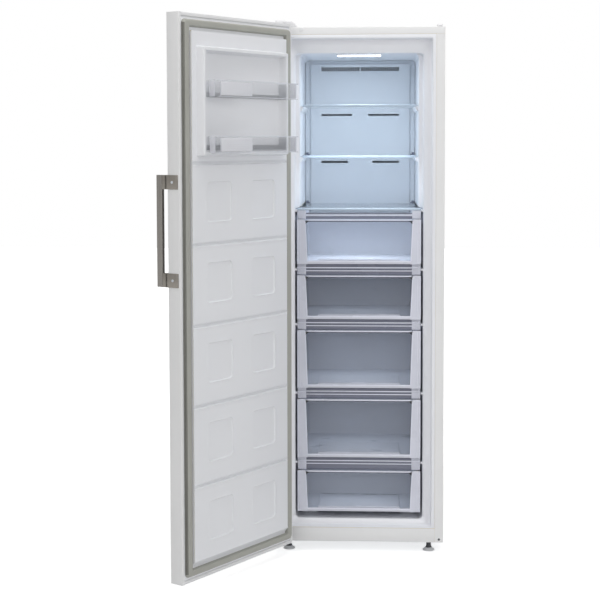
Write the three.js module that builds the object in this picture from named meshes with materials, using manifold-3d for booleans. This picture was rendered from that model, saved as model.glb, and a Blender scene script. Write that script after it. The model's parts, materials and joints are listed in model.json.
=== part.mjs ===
// Upright no-frost freezer: hinged door with two balconies, three glass shelves and five drawers.
// Millimetres, +Z up, front faces -Y. Every part is drawn in cabinet coordinates: x = 0 is mid-width,
// y = 0 the front plane of the cabinet (positive into it), z = 0 the underside of the cabinet.
// The finished group is then moved so that z = 0 is the floor and y = 0 is mid-depth.
import * as THREE from 'three';
import { mergeVertices } from 'three/addons/utils/BufferGeometryUtils.js';
import Module from 'manifold-3d';

const wasm = await Module();
wasm.setup();

// ---------------------------------------------------------------- driving dimensions
const WIDTH = 595;
const DEPTH = 590;
const BODY_HEIGHT = 1806;
const FOOT_HEIGHT = 38;
const HALF = WIDTH / 2;
const SHEET = 1; // painted steel
const LINER = 1.5; // moulded plastic sheet
const GAP = 0.3; // play left between pieces that touch

// Insulated walls, from the outside of the cabinet to the inside of the chamber
const WALL = { side: 72.5, top: 88, bottom: 73, rear: 55 };
const REAR = DEPTH - WALL.rear;
const MOUTH = { half: HALF - WALL.side, bottom: WALL.bottom, top: BODY_HEIGHT - WALL.top, depth: 40 };

// Front frame: the reveal that takes the door plug, the lip of the liner round it, then the steel flange
const REVEAL = { half: MOUTH.half + 30.3, bottom: MOUTH.bottom - 20, top: MOUTH.top + 49, depth: 30 };
const SHOULDER = { half: MOUTH.half + 15, bottom: MOUTH.bottom - 11, top: MOUTH.top + 27 };
const LIP = { side: 12.2, top: 14, base: 3 };
const FLANGE = {
  side: HALF - REVEAL.half - LIP.side,
  top: BODY_HEIGHT - REVEAL.top - LIP.top,
  base: REVEAL.bottom - LIP.base,
};

// Machine compartment, and the step of the chamber over it
const MACHINE = { front: DEPTH - 196, top: 208 };
const STEP = { foot: MACHINE.front - 79, edge: MACHINE.front - 44, top: MACHINE.top + 54 };

// Drawers from the lowest up: the space under each front, the height of the front, and how far back it goes
const SHELF = { thickness: 4, back: REAR - 59, trimDepth: 6, trimHeight: 8 };
const DRAWER_ROWS = [
  { under: 25.6, height: STEP.top - MOUTH.bottom - 42.9, back: STEP.foot - 23 },
  { under: 48.1, height: 207.6, back: SHELF.back - 36 },
  { under: 41.2, height: 203.9, back: SHELF.back - 36 },
  { under: 40.5, height: 154.6, back: SHELF.back - 36 },
  { under: 40.4, height: 157, back: SHELF.back - 36 },
];
const DRAWERS = stackDrawers();
const DRAWER = { half: MOUTH.half - 8, front: 40, wall: 2.5, sill: 11.5, rimDrop: 8, draft: 8, tilt: 10 };
const BIN_HALF = DRAWER.half - 9;
const WINDOW_HALF = DRAWER.half - 32.5;
const PLATFORM = { half: 145, height: 6, start: 62, end: STEP.foot - 53 };
const DRAIN = { count: 4, pitch: 72, length: 60, width: 5, inset: 40 };
const RUNNER = { inner: DRAWER.half - 31, outer: DRAWER.half, railDrop: 14.5, railHeight: 7 };
const LEDGE = { width: 7, thickness: 8, front: 48, back: SHELF.back - 8 };
const PEDESTAL = { inner: MOUTH.half - 75, outer: MOUTH.half - 25, front: 115, back: STEP.foot - 15 };

// Shelves: the widest lies over the top drawer, the other two divide the space above it
const LOWER_SHELF = { height: DRAWERS[0].top + 36, front: 44 };
const UPPER = { half: MOUTH.half - 16, front: 86, bottom: LOWER_SHELF.height + SHELF.thickness };
const SHELF_PITCH = (MOUTH.top - UPPER.bottom) / 3;
const UPPER_SHELVES = [UPPER.bottom + 2 * SHELF_PITCH, UPPER.bottom + SHELF_PITCH];
const UPPER_SHELF_FRONT = UPPER.front + 20;
const WEDGE = { drop: 18, width: 12 };

// Duct cover at the rear of the chamber, with the lamp, fan and coil that it serves
const DUCT = {
  half: UPPER.half - 19,
  wing: UPPER.half - 1,
  front: REAR - 55,
  step: 6,
  wall: 3,
  bottom: STEP.top + 6,
  top: MOUTH.top - 11,
  crown: MOUTH.top - 1,
};
const VENT_HALF = DUCT.half - 43;
const VENTS = [
  { low: MOUTH.top - 40, high: MOUTH.top - 25, inner: 3, outer: VENT_HALF },
  { low: UPPER_SHELVES[0] - 29, high: UPPER_SHELVES[0] - 22, inner: 31, outer: VENT_HALF },
  { low: UPPER_SHELVES[1] - 28, high: UPPER_SHELVES[1] - 20, inner: 47, outer: VENT_HALF },
  ...DRAWERS.slice(0, 4).map(({ top }) => ({ low: top - 78, high: top - 70, inner: 31, outer: VENT_HALF })),
  { low: DUCT.bottom + 32, high: DUCT.bottom + 44, inner: 10, outer: VENT_HALF + 13 },
];
const LAMP = { half: 78, front: 84, back: 160, thickness: 5, corner: 8 };
const FAN = { height: LOWER_SHELF.height + 66, rotor: 49, tip: 4, shell: 9, hub: 17, motor: 19, shaft: 2.5 };
const FAN_BORE = FAN.rotor + FAN.tip;
const FAN_RING = FAN_BORE + FAN.shell;
const COIL = { half: DUCT.half - 30, front: REAR - 43, depth: 36, bottom: 640, top: 900, fins: 14, tube: 5 };

// Door, in its closed place; it is drawn closed and then turned about the hinge axis
const DOOR = { bottom: 4.1, top: BODY_HEIGHT + 7.6, inner: -12, thickness: 49.3, rim: 12, bed: 8 };
const DOOR_OUTER = DOOR.inner - DOOR.thickness;
const HINGE = { x: -HALF + 26, y: DOOR.inner - 30.5, pin: 4, play: 0.1, bush: 8, bushLength: 18 };
const REST_OPENING = 122.7; // degrees
const PLUG = {
  half: REVEAL.half - 2.8,
  bottom: REVEAL.bottom + 1.5,
  top: REVEAL.top - 8,
  slope: 16,
  face: 1.8,
};
const GASKET = { side: HALF - PLUG.half - 31, sideBase: 30.6, end: 20.6, endBase: 24, lean: 4, play: 0.15 };
const GASKET_REACH = HALF + HINGE.x - GASKET.side - GASKET.lean; // its face goes this far past the hinge axis
const GASKET_FACE = HINGE.y + Math.sqrt((HINGE.y + GASKET.play) ** 2 - GASKET_REACH ** 2);
const GROOVES = [1343.5, 1085.5, 827, 569.6, 313];
const GROOVE = { depth: 8, half: 6.5, slope: 3 };
const PANEL = { offset: 116, size: 130, corner: 14, depth: 3, rise: 5 };
const DYKE = {
  half: PLUG.half - 24.5,
  bottom: GROOVES[0] + 20.5,
  top: PLUG.top - 47,
  height: 30,
  width: 20.5,
  crest: 8,
};
const DYKE_MIDDLE = (DYKE.bottom + DYKE.top) / 2;
const BALCONY = {
  half: MOUTH.half - 9.5,
  front: 77,
  wall: 2.5,
  neck: DYKE.half - DYKE.width - 2.5,
  back: PLUG.face + 0.6,
  backHeight: 16,
  height: 53.5,
};
const BALCONIES = [DYKE_MIDDLE + 13, DYKE.bottom + 11].map((low) => [low, low + BALCONY.height]);
const HANDLE = {
  bottom: 953,
  top: 1307,
  bracket: 45,
  face: DOOR_OUTER - 44.2,
  depth: 23,
  width: 13,
  plate: 2,
  wrap: DOOR.inner - 5,
  screw: DOOR.inner - 28,
};

// Feet, rollers, compressor and inlet
const FOOT = { x: HALF - 49.5, y: 40, disc: 21, stem: 8.5, stud: 5, studLength: 25 };
const ROLLER = { x: HALF - 47.5, y: DEPTH - 30, radius: FOOT_HEIGHT / 2 - 1, width: 14, axle: 3, cheek: 3 };
const COMPRESSOR = { x: 60, y: (MACHINE.front + DEPTH) / 2, radius: 71, foot: 14, top: MACHINE.top - 44 };
const TRAY = { half: 100, depth: 74, height: 24, wall: 2, base: 2.5 };
const INLET = { x: -HALF + 87.5, half: 22, depth: 34, top: 44, bore: 14, boreDepth: 18, rim: 10, pin: 1 };

function stackDrawers() {
  let top = MOUTH.bottom;
  const stack = DRAWER_ROWS.map(({ under, height, back }) => {
    const bottom = top + under;
    top = bottom + height;
    return { bottom, top, back };
  });
  return stack.reverse();
}

// ---------------------------------------------------------------- solids
// Closed triangle surface -> solid, dropping the triangles that collapse on a lathe axis.
function solid(geometry) {
  const bare = geometry.clone();
  bare.deleteAttribute('normal');
  bare.deleteAttribute('uv');
  const merged = mergeVertices(bare, 1e-4);
  const source = merged.index.array;
  const kept = [];
  for (let i = 0; i < source.length; i += 3) {
    const [a, b, c] = [source[i], source[i + 1], source[i + 2]];
    if (a !== b && b !== c && c !== a) kept.push(a, b, c);
  }
  const vertProperties = new Float32Array(merged.attributes.position.array);
  return new wasm.Manifold(new wasm.Mesh({ numProp: 3, vertProperties, triVerts: new Uint32Array(kept) }));
}

function geometryOf(body) {
  const mesh = body.getMesh();
  const geometry = new THREE.BufferGeometry();
  geometry.setAttribute('position', new THREE.BufferAttribute(mesh.vertProperties, 3));
  geometry.setIndex(new THREE.BufferAttribute(mesh.triVerts, 1));
  geometry.computeVertexNormals();
  return geometry;
}

function union(parts) {
  return parts.reduce((sum, part) => sum.add(part));
}

function cut(body, tools) {
  return tools.reduce((rest, tool) => rest.subtract(tool), body);
}

function block(x0, x1, y0, y1, z0, z1) {
  const geometry = new THREE.BoxGeometry(x1 - x0, y1 - y0, z1 - z0);
  return solid(geometry.translate((x0 + x1) / 2, (y0 + y1) / 2, (z0 + z1) / 2));
}

// Block on the left (side -1) or the right (side 1) between two distances from mid-width
function sideBlock(side, inner, outer, y0, y1, z0, z1) {
  return side > 0 ? block(inner, outer, y0, y1, z0, z1) : block(-outer, -inner, y0, y1, z0, z1);
}

// Block that is symmetric about mid-width
function slab(half, y0, y1, z0, z1) {
  return block(-half, half, y0, y1, z0, z1);
}

// Eight-cornered taper between two rectangles [half, z0, z1] at depths y0 and y1
function taper([half0, low0, high0], y0, [half1, low1, high1], y1) {
  const near = [[-half0, y0, low0], [half0, y0, low0], [half0, y0, high0], [-half0, y0, high0]];
  const far = [[-half1, y1, low1], [half1, y1, low1], [half1, y1, high1], [-half1, y1, high1]];
  return hexahedron([...near, ...far]);
}

// Corners 0-3 run counter-clockwise seen from the near side, 4-7 lie behind them
function hexahedron(corners) {
  const geometry = new THREE.BufferGeometry();
  geometry.setAttribute('position', new THREE.Float32BufferAttribute(corners.flat(), 3));
  const faces = [[0, 1, 2, 3], [5, 4, 7, 6], [4, 0, 3, 7], [1, 5, 6, 2], [3, 2, 6, 7], [4, 5, 1, 0]];
  geometry.setIndex(faces.flatMap(([a, b, c, d]) => [a, b, c, a, c, d]));
  return solid(geometry);
}

function extruded(shape, length, curveSegments) {
  return new THREE.ExtrudeGeometry(shape, { depth: length, bevelEnabled: false, curveSegments });
}

function outline(points) {
  return new THREE.Shape(points.map(([u, v]) => new THREE.Vector2(u, v)));
}

// Outline of [y, z] points, run along x
function alongX(points, x0, x1) {
  const turn = new THREE.Matrix4().set(0, 0, 1, x0, 1, 0, 0, 0, 0, 1, 0, 0, 0, 0, 0, 1);
  return solid(extruded(outline(points), x1 - x0).applyMatrix4(turn));
}

// Outline of [x, z] points, run along y
function alongY(points, y0, y1, shape = outline(points)) {
  return solid(extruded(shape, y1 - y0, 5).rotateX(Math.PI / 2).translate(0, y1, 0));
}

// Outline of [x, y] points, run along z
function alongZ(points, z0, z1, shape = outline(points)) {
  return solid(extruded(shape, z1 - z0, 5).translate(0, 0, z0));
}

function roundedRectangle(u0, u1, v0, v1, radius) {
  const shape = new THREE.Shape();
  shape.moveTo(u0 + radius, v0);
  shape.lineTo(u1 - radius, v0);
  shape.absarc(u1 - radius, v0 + radius, radius, -Math.PI / 2, 0);
  shape.lineTo(u1, v1 - radius);
  shape.absarc(u1 - radius, v1 - radius, radius, 0, Math.PI / 2);
  shape.lineTo(u0 + radius, v1);
  shape.absarc(u0 + radius, v1 - radius, radius, Math.PI / 2, Math.PI);
  shape.lineTo(u0, v0 + radius);
  shape.absarc(u0 + radius, v0 + radius, radius, Math.PI, Math.PI * 1.5);
  return shape;
}

// Round bar along x, y or z, from start to end, about the point (x, y, z)
function rod(axis, radius, start, end, { x = 0, y = 0, z = 0 }, sides = 24) {
  const geometry = new THREE.CylinderGeometry(radius, radius, end - start, sides);
  if (axis === 'x') geometry.rotateZ(-Math.PI / 2).translate((start + end) / 2, y, z);
  if (axis === 'y') geometry.translate(x, (start + end) / 2, z);
  if (axis === 'z') geometry.rotateX(Math.PI / 2).translate(x, y, (start + end) / 2);
  return solid(geometry);
}

// Turned body about a vertical axis through (x, y); profile of [radius, height] from axis to axis
function turned(profile, x, y, sides = 32) {
  const points = profile.map(([radius, height]) => new THREE.Vector2(radius, height));
  return solid(new THREE.LatheGeometry(points, sides).rotateX(Math.PI / 2).translate(x, y, 0));
}

// ---------------------------------------------------------------- materials
const MATERIALS = {
  whitePaint: { color: 0xe9eaea, roughness: 0.35, metalness: 0 },
  whitePlastic: { color: 0xeeeff1, roughness: 0.4, metalness: 0 },
  linerPlastic: { color: 0xe6ebf0, roughness: 0.35, metalness: 0 },
  foam: { color: 0xd9c98f, roughness: 0.95, metalness: 0 },
  clearPlastic: { color: 0xc9cfdf, roughness: 0.2, metalness: 0, transparent: true, opacity: 0.45 },
  glass: { color: 0xcfe3ea, roughness: 0.1, metalness: 0, transparent: true, opacity: 0.4 },
  gasket: { color: 0x9b9b90, roughness: 0.7, metalness: 0 },
  brushedSteel: { color: 0x77736d, roughness: 0.35, metalness: 1 },
  zincSteel: { color: 0xb4b7ba, roughness: 0.45, metalness: 0.9 },
  darkPlastic: { color: 0x35373a, roughness: 0.6, metalness: 0 },
  blackPaint: { color: 0x17181a, roughness: 0.5, metalness: 0 },
  aluminium: { color: 0xc4c8cb, roughness: 0.4, metalness: 0.9 },
  lampLens: { color: 0xf8fbff, roughness: 0.4, metalness: 0 },
};

function piece(name, body, material) {
  const mesh = new THREE.Mesh(geometryOf(body), new THREE.MeshStandardMaterial(MATERIALS[material]));
  mesh.name = name;
  return mesh;
}

// ---------------------------------------------------------------- cabinet
// The hollow of the cabinet, grown outward by t; t = LINER gives the outside of the liner.
function chamber(t) {
  const shoulder = [SHOULDER.half + t, SHOULDER.bottom - t, SHOULDER.top + t];
  const mouth = [MOUTH.half + t, MOUTH.bottom - t, MOUTH.top + t];
  const floor = MOUTH.bottom - t;
  const lower = [
    [MOUTH.depth, floor], [STEP.foot - t, floor], [STEP.edge - t, STEP.top - t], [REAR + t, STEP.top - t],
    [REAR + t, UPPER.bottom + t], [MOUTH.depth, UPPER.bottom + t],
  ];
  const top = MOUTH.top + t;
  return union([
    slab(REVEAL.half + t, -1, REVEAL.depth + t, REVEAL.bottom - t, REVEAL.top + t),
    taper(shoulder, REVEAL.depth + t, mouth, MOUTH.depth + t),
    alongX(lower, -MOUTH.half - t, MOUTH.half + t),
    slab(MOUTH.half + t, MOUTH.depth, UPPER.front + t, UPPER.bottom, top),
    slab(UPPER.half + t, MOUTH.depth, REAR + t, UPPER.bottom, top),
  ]);
}

function lipRing(thickness) {
  const outer = slab(HALF - FLANGE.side, 0, thickness, FLANGE.base, BODY_HEIGHT - FLANGE.top);
  return outer.subtract(slab(REVEAL.half, -1, thickness + 1, REVEAL.bottom, REVEAL.top));
}

// Height of each divider between two drawers: the slab, its front rail and its side runners
function dividerLevels(index) {
  const rail = DRAWERS[index].bottom - RUNNER.railDrop;
  return { rail, low: DRAWERS[index + 1].top + 5, high: DRAWERS[index].bottom - GAP };
}

// Wedge under one end of an upper shelf
function shelfWedge(height, side) {
  const seat = height - SHELF.thickness / 2;
  const wall = side * (UPPER.half + LINER / 2);
  const points = [[wall, seat], [wall, seat - WEDGE.drop], [side * (UPPER.half - WEDGE.width), seat]];
  const front = UPPER_SHELF_FRONT + SHELF.trimDepth;
  return alongY(side > 0 ? [points[0], points[2], points[1]] : points, front, SHELF.back);
}

// Ledge on the lower side wall that carries a slab of which the underside lies at the given height
function sideLedge(seat, side) {
  const [inner, outer] = [MOUTH.half - LEDGE.width, MOUTH.half + LINER / 2];
  return sideBlock(side, inner, outer, LEDGE.front, LEDGE.back, seat - LEDGE.thickness, seat);
}

function liner() {
  const sheet = cut(chamber(LINER), [slab(HALF, -2, 0, -10, BODY_HEIGHT)]);
  const supports = [];
  for (const side of [-1, 1]) {
    for (const height of UPPER_SHELVES) supports.push(shelfWedge(height, side));
    supports.push(sideLedge(LOWER_SHELF.height - SHELF.thickness / 2, side));
    for (let i = 0; i < 4; i += 1) {
      supports.push(sideLedge(dividerLevels(i).rail - SHELF.thickness / 2, side));
    }
    const { inner, outer, front, back } = PEDESTAL;
    supports.push(sideBlock(side, inner, outer, front, back, MOUTH.bottom - 1, DRAWERS[4].bottom - GAP));
  }
  return union([sheet.subtract(chamber(0)), lipRing(LINER), ...supports]);
}

function cabinetFoam() {
  const filled = slab(HALF - SHEET, SHEET, DEPTH - SHEET, LINER, BODY_HEIGHT - SHEET);
  const lip = slab(HALF - FLANGE.side, 0, LINER, FLANGE.base, BODY_HEIGHT - FLANGE.top);
  const machine = slab(HALF, MACHINE.front, DEPTH, 0, MACHINE.top);
  const pockets = [-1, 1].map((side) => rod('z', FOOT.stud + 4, 0, 30, { x: side * FOOT.x, y: FOOT.y }));
  return cut(filled, [chamber(LINER), lip, machine, ...pockets]);
}

function sidePanel(side) {
  const plate = block(HALF - SHEET, HALF, 0, DEPTH, 0, BODY_HEIGHT);
  const flange = block(HALF - FLANGE.side, HALF - SHEET / 2, 0, SHEET, 0, BODY_HEIGHT - FLANGE.top);
  const panel = plate.add(flange);
  return side > 0 ? panel : panel.mirror([1, 0, 0]);
}

function topPanel() {
  const plate = slab(HALF - SHEET, 0, DEPTH, BODY_HEIGHT - SHEET, BODY_HEIGHT);
  const flange = slab(HALF - SHEET, 0, SHEET, BODY_HEIGHT - FLANGE.top, BODY_HEIGHT - SHEET / 2);
  return plate.add(flange);
}

function basePan() {
  const plate = slab(HALF - SHEET, SHEET, DEPTH, 0, LINER);
  const holes = [-1, 1].map((side) => rod('z', FOOT.stud + 0.5, -1, 3, { x: side * FOOT.x, y: FOOT.y }));
  return cut(plate, holes);
}

function machineShield() {
  const upright = slab(HALF - SHEET, MACHINE.front, MACHINE.front + SHEET, LINER, MACHINE.top);
  return upright.add(slab(HALF - SHEET, MACHINE.front, DEPTH - SHEET, MACHINE.top - SHEET, MACHINE.top));
}

function cabinetPieces() {
  const backPanel = slab(HALF - SHEET, DEPTH - SHEET, DEPTH, MACHINE.top, BODY_HEIGHT - SHEET);
  return [
    piece('side_panel_left', sidePanel(-1), 'whitePaint'),
    piece('side_panel_right', sidePanel(1), 'whitePaint'),
    piece('top_panel', topPanel(), 'whitePaint'),
    piece('back_panel', backPanel, 'zincSteel'),
    piece('base_front', slab(HALF - FLANGE.side, 0, SHEET, 0, FLANGE.base), 'whitePaint'),
    piece('base_pan', basePan(), 'zincSteel'),
    piece('machine_shield', machineShield(), 'zincSteel'),
    piece('cabinet_foam', cabinetFoam(), 'foam'),
    piece('liner', liner(), 'linerPlastic'),
  ];
}

// ---------------------------------------------------------------- shelves and drawers
function shelfPieces() {
  const levels = UPPER_SHELVES.map((height) => [height, UPPER_SHELF_FRONT, UPPER.half - 0.8]);
  levels.push([LOWER_SHELF.height, LOWER_SHELF.front, MOUTH.half - 0.8]);
  return levels.flatMap(([height, front, half], i) => {
    const [drop, rise] = [SHELF.thickness / 2, SHELF.trimHeight / 2];
    const glass = slab(half, front + SHELF.trimDepth, SHELF.back, height - drop, height + drop);
    const trim = slab(half - 7.5, front, front + SHELF.trimDepth, height - rise, height + rise);
    return [
      piece(`shelf_glass_${i + 1}`, glass, 'glass'),
      piece(`shelf_trim_${i + 1}`, trim, 'clearPlastic'),
    ];
  });
}

function divider(index) {
  const { rail, low, high } = dividerLevels(index);
  const [drop, rise] = [SHELF.thickness / 2, RUNNER.railHeight / 2];
  const end = Math.min(DRAWERS[index].back, DRAWERS[index + 1].back + 20);
  return union([
    slab(MOUTH.half - 0.8, DRAWER.front + 10, SHELF.back - 6, rail - drop, rail + drop),
    slab(RUNNER.outer, DRAWER.front + 3, DRAWER.front + 11, rail - rise, rail + rise),
    ...[-1, 1].map((side) => sideBlock(side, RUNNER.inner, RUNNER.outer, DRAWER.front + 4, end, low, high)),
  ]);
}

// Open bin tapering downward and to the rear
function bin(drawer, inset) {
  const [foot, mouth] = [BIN_HALF - DRAWER.draft - inset, BIN_HALF - inset];
  const [low, high] = [drawer.bottom + inset, drawer.top - DRAWER.rimDrop + (inset > 0 ? 20 : 0)];
  const [front, backTop] = [DRAWER.front + 1 + inset, drawer.back - inset];
  const backFoot = backTop - DRAWER.tilt;
  return hexahedron([
    [-foot, front, low], [foot, front, low], [mouth, front, high], [-mouth, front, high],
    [-foot, backFoot, low], [foot, backFoot, low], [mouth, backTop, high], [-mouth, backTop, high],
  ]);
}

function drawerBody(drawer) {
  const { half, front, sill, wall } = DRAWER;
  const { bottom, top } = drawer;
  const hollow = bin(drawer, wall).subtract(
    slab(PLATFORM.half, PLATFORM.start, PLATFORM.end, bottom, bottom + wall + PLATFORM.height),
  );
  const face = slab(half, front, front + wall + 0.5, bottom, top);
  const lip = [[-WINDOW_HALF, front + 1], [8 - WINDOW_HALF, front - 8],
    [WINDOW_HALF - 8, front - 8], [WINDOW_HALF, front + 1]];
  return union([
    bin(drawer, 0).subtract(hollow),
    face,
    ...[-1, 1].map((side) => sideBlock(side, WINDOW_HALF, half, front - 3, front + 1, bottom, top)),
    slab(half, front - 3, front + 1, bottom, bottom + sill),
    alongZ(lip, top - 5, top),
  ]);
}

// The lowest drawer has drain slots across the rear of its platform
function slottedDrawer(drawer) {
  const front = drawer.back - DRAIN.inset;
  const slots = Array.from({ length: DRAIN.count }, (_, i) => {
    const x = (i - (DRAIN.count - 1) / 2) * DRAIN.pitch;
    const [left, right] = [x - DRAIN.length / 2, x + DRAIN.length / 2];
    return block(left, right, front, front + DRAIN.width, drawer.bottom - 1, drawer.bottom + 20);
  });
  return cut(drawerBody(drawer), slots);
}

function drawerPieces() {
  const last = DRAWERS.length - 1;
  const dividers = DRAWERS.slice(0, last).map((_, i) => (
    piece(`drawer_divider_${i + 1}`, divider(i), 'clearPlastic')
  ));
  const drawers = DRAWERS.map((drawer, i) => {
    const body = i === last ? slottedDrawer(drawer) : drawerBody(drawer);
    return piece(`drawer_${i + 1}`, body, 'clearPlastic');
  });
  return [...dividers, ...drawers];
}

// ---------------------------------------------------------------- air duct, fan, lamp
function ductCover() {
  const { half, front, wall, bottom, top } = DUCT;
  const vents = VENTS.flatMap(({ low, high, inner, outer }) => (
    [-1, 1].map((side) => sideBlock(side, inner, outer, front - 1, front + wall + 1, low, high))
  ));
  const hollow = slab(half - wall, front + wall, REAR + 1, bottom + wall, top - wall);
  return cut(slab(half, front, REAR, bottom, top), [hollow, ...vents]);
}

// The flange round the cover's sides and top, a step behind its face, nearly reaches the walls
function ductFlange() {
  const { half, wing, front, step, wall, bottom, top, crown } = DUCT;
  const [near, far] = [front + step, front + step + wall];
  const place = slab(half + GAP, near - 1, far + 1, bottom - 1, top + GAP);
  return slab(wing, near, far, bottom, crown).subtract(place);
}

function fanHousing() {
  const at = { z: FAN.height };
  const plane = DUCT.front + DUCT.wall;
  const reach = FAN_RING + 5;
  const frame = slab(reach, plane, plane + 3, FAN.height - reach, FAN.height + reach);
  const struts = [0, 1, 2].map((i) => {
    const bar = new THREE.BoxGeometry(6, 4, FAN_BORE + 3).translate(0, 0, (FAN_BORE + 3) / 2);
    bar.rotateY((i * 2 * Math.PI) / 3).translate(0, plane + 27, FAN.height);
    return solid(bar);
  });
  const shell = frame.add(rod('y', FAN_RING, plane, plane + 29, at, 40));
  const body = shell.subtract(rod('y', FAN_BORE, plane - 1, plane + 40, at, 40));
  const motor = rod('y', FAN.motor, plane + 20, plane + 40, at);
  return union([body, ...struts, motor, rod('y', FAN.shaft, plane + 8, plane + 21, at, 12)]);
}

function fanRotor() {
  const at = { z: FAN.height };
  const [front, back] = [DUCT.front + DUCT.wall + 5, DUCT.front + DUCT.wall + 18];
  const blades = [0, 1, 2, 3, 4, 5, 6].map((i) => {
    const blade = new THREE.BoxGeometry(22, 1.6, FAN.rotor - 10).translate(0, 0, (FAN.rotor + 10) / 2);
    blade.rotateZ(0.45).rotateY((i * 2 * Math.PI) / 7).translate(0, (front + back) / 2, FAN.height);
    return solid(blade);
  });
  const envelope = rod('y', FAN.rotor, front, back, at, 40);
  const bore = rod('y', FAN.shaft + 0.1, front + 2, back + 1, at, 12);
  return union([...blades, rod('y', FAN.hub, front, back, at)]).intersect(envelope).subtract(bore);
}

function evaporator() {
  const { half, front, depth, bottom, top, fins, tube } = COIL;
  const pitch = (2 * half) / (fins - 1);
  const plates = Array.from({ length: fins }, (_, i) => {
    const x = -half + i * pitch;
    return block(x - 0.75, x + 0.75, front, front + depth, bottom, top);
  });
  const reach = DUCT.half - DUCT.wall;
  const tubes = [0.12, 0.37, 0.63, 0.88].map((share) => {
    const z = bottom + share * (top - bottom);
    return rod('x', tube, -reach, reach, { y: front + depth / 2, z }, 8);
  });
  return union([...plates, ...tubes]);
}

function airPieces() {
  const { half, front, back, thickness, corner } = LAMP;
  const lensOutline = roundedRectangle(-half, half, front, back, corner);
  const lens = alongZ([], MOUTH.top - thickness, MOUTH.top, lensOutline);
  return [
    piece('duct_cover', ductCover(), 'linerPlastic'),
    piece('duct_flange', ductFlange(), 'linerPlastic'),
    piece('fan_housing', fanHousing(), 'darkPlastic'),
    piece('fan_rotor', fanRotor(), 'darkPlastic'),
    piece('evaporator', evaporator(), 'aluminium'),
    piece('lamp_lens', lens, 'lampLens'),
  ];
}

// ---------------------------------------------------------------- machine compartment
function compressor() {
  const { x, y, radius, foot, top } = COMPRESSOR;
  const profile = [
    [0, foot], [radius - 13, foot], [radius - 3, foot + 14], [radius, foot + 46], [radius, top - 54],
    [radius - 11, top - 22], [34, top - 4], [26, top], [0, top],
  ];
  const plate = block(x - 90, x + 90, y - 62, y + 62, foot - 3, foot + 1);
  const mounts = [[-76, -48], [76, -48], [-76, 48], [76, 48]].map(([dx, dy]) => (
    rod('z', 11, LINER, foot - 2, { x: x + dx, y: y + dy }, 16)
  ));
  const relay = block(x - radius - 25, x - radius + 11, y - 26, y + 26, top - 114, top - 52);
  return union([turned(profile, x, y, 40), plate, ...mounts, relay]);
}

function dripTray() {
  const { half, depth, height, wall, base } = TRAY;
  const { x, y, top } = COMPRESSOR;
  const outer = block(x - half, x + half, y - depth, y + depth, top, top + height);
  const [room, reach] = [half - wall, depth - wall];
  return outer.subtract(block(x - room, x + room, y - reach, y + reach, top + base, top + height + 1));
}

function powerInlet() {
  const { x, half, depth, top, bore, boreDepth, rim, pin } = INLET;
  const housing = block(x - half, x + half, DEPTH - depth, DEPTH, LINER, top);
  const floor = DEPTH - boreDepth;
  const socket = block(x - bore, x + bore, floor, DEPTH + 1, rim + 2, top - rim);
  const pins = [-1, 0, 1].map((step) => {
    const centre = x + (step * bore) / 2;
    return block(centre - pin, centre + pin, floor - 1, DEPTH - 6, rim + 10, top - rim - 8);
  });
  return union([housing.subtract(socket), ...pins]);
}

function machinePieces() {
  return [
    piece('compressor', compressor(), 'blackPaint'),
    piece('drip_tray', dripTray(), 'darkPlastic'),
    piece('power_inlet', powerInlet(), 'blackPaint'),
  ];
}

// ---------------------------------------------------------------- feet and rollers
function foot(side) {
  const stop = FOOT_HEIGHT - GAP;
  const profile = [
    [0, 0], [FOOT.disc, 0], [FOOT.disc, 3.5], [FOOT.disc - 3, 6], [12, 11], [FOOT.stem, 17],
    [FOOT.stem, stop], [FOOT.stud, stop], [FOOT.stud, stop + FOOT.studLength], [0, stop + FOOT.studLength],
  ];
  return turned(profile, side * FOOT.x, FOOT.y).translate([0, 0, -FOOT_HEIGHT]);
}

function roller(side) {
  const [x, z] = [side * ROLLER.x, ROLLER.radius - FOOT_HEIGHT];
  const half = ROLLER.width / 2;
  const wheel = rod('x', ROLLER.radius, x - half, x + half, { y: ROLLER.y, z }, 36);
  return wheel.subtract(rod('x', ROLLER.axle + 0.1, x - half - 1, x + half + 1, { y: ROLLER.y, z }, 16));
}

function rollerBracket(side) {
  const x = side * ROLLER.x;
  const inner = ROLLER.width / 2 + 1;
  const outer = inner + ROLLER.cheek;
  const [front, back, low] = [ROLLER.y - 14, ROLLER.y + 14, ROLLER.radius - FOOT_HEIGHT - 8];
  return union([
    block(x - outer, x + outer, front - 12, back + 6, -1.5, 0),
    block(x - outer, x - inner, front, back, low, -1),
    block(x + inner, x + outer, front, back, low, -1),
    rod('x', ROLLER.axle, x - outer - 2, x + outer + 2, { y: ROLLER.y, z: ROLLER.radius - FOOT_HEIGHT }, 16),
  ]);
}

function supportPieces() {
  return [['left', -1], ['right', 1]].flatMap(([name, side]) => [
    piece(`foot_${name}`, foot(side), 'darkPlastic'),
    piece(`roller_${name}`, roller(side), 'darkPlastic'),
    piece(`roller_bracket_${name}`, rollerBracket(side), 'zincSteel'),
  ]);
}

// ---------------------------------------------------------------- hinges and small covers
const ARM = { low: DOOR.top + 1, thickness: 4 };

function topHinge() {
  const [x, y] = [HINGE.x, HINGE.y];
  const arm = block(x - 12, x + 14, y - 10, 20, ARM.low, ARM.low + ARM.thickness);
  const riser = block(x - 12, x + 40, 14, 20, BODY_HEIGHT, ARM.low + ARM.thickness);
  const plate = block(x - 12, x + 40, 14, 52, BODY_HEIGHT, BODY_HEIGHT + 3);
  const pin = rod('z', HINGE.pin, DOOR.top - HINGE.bushLength + 1, ARM.low + 1, { x, y });
  return union([arm, riser, plate, pin]);
}

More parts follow.
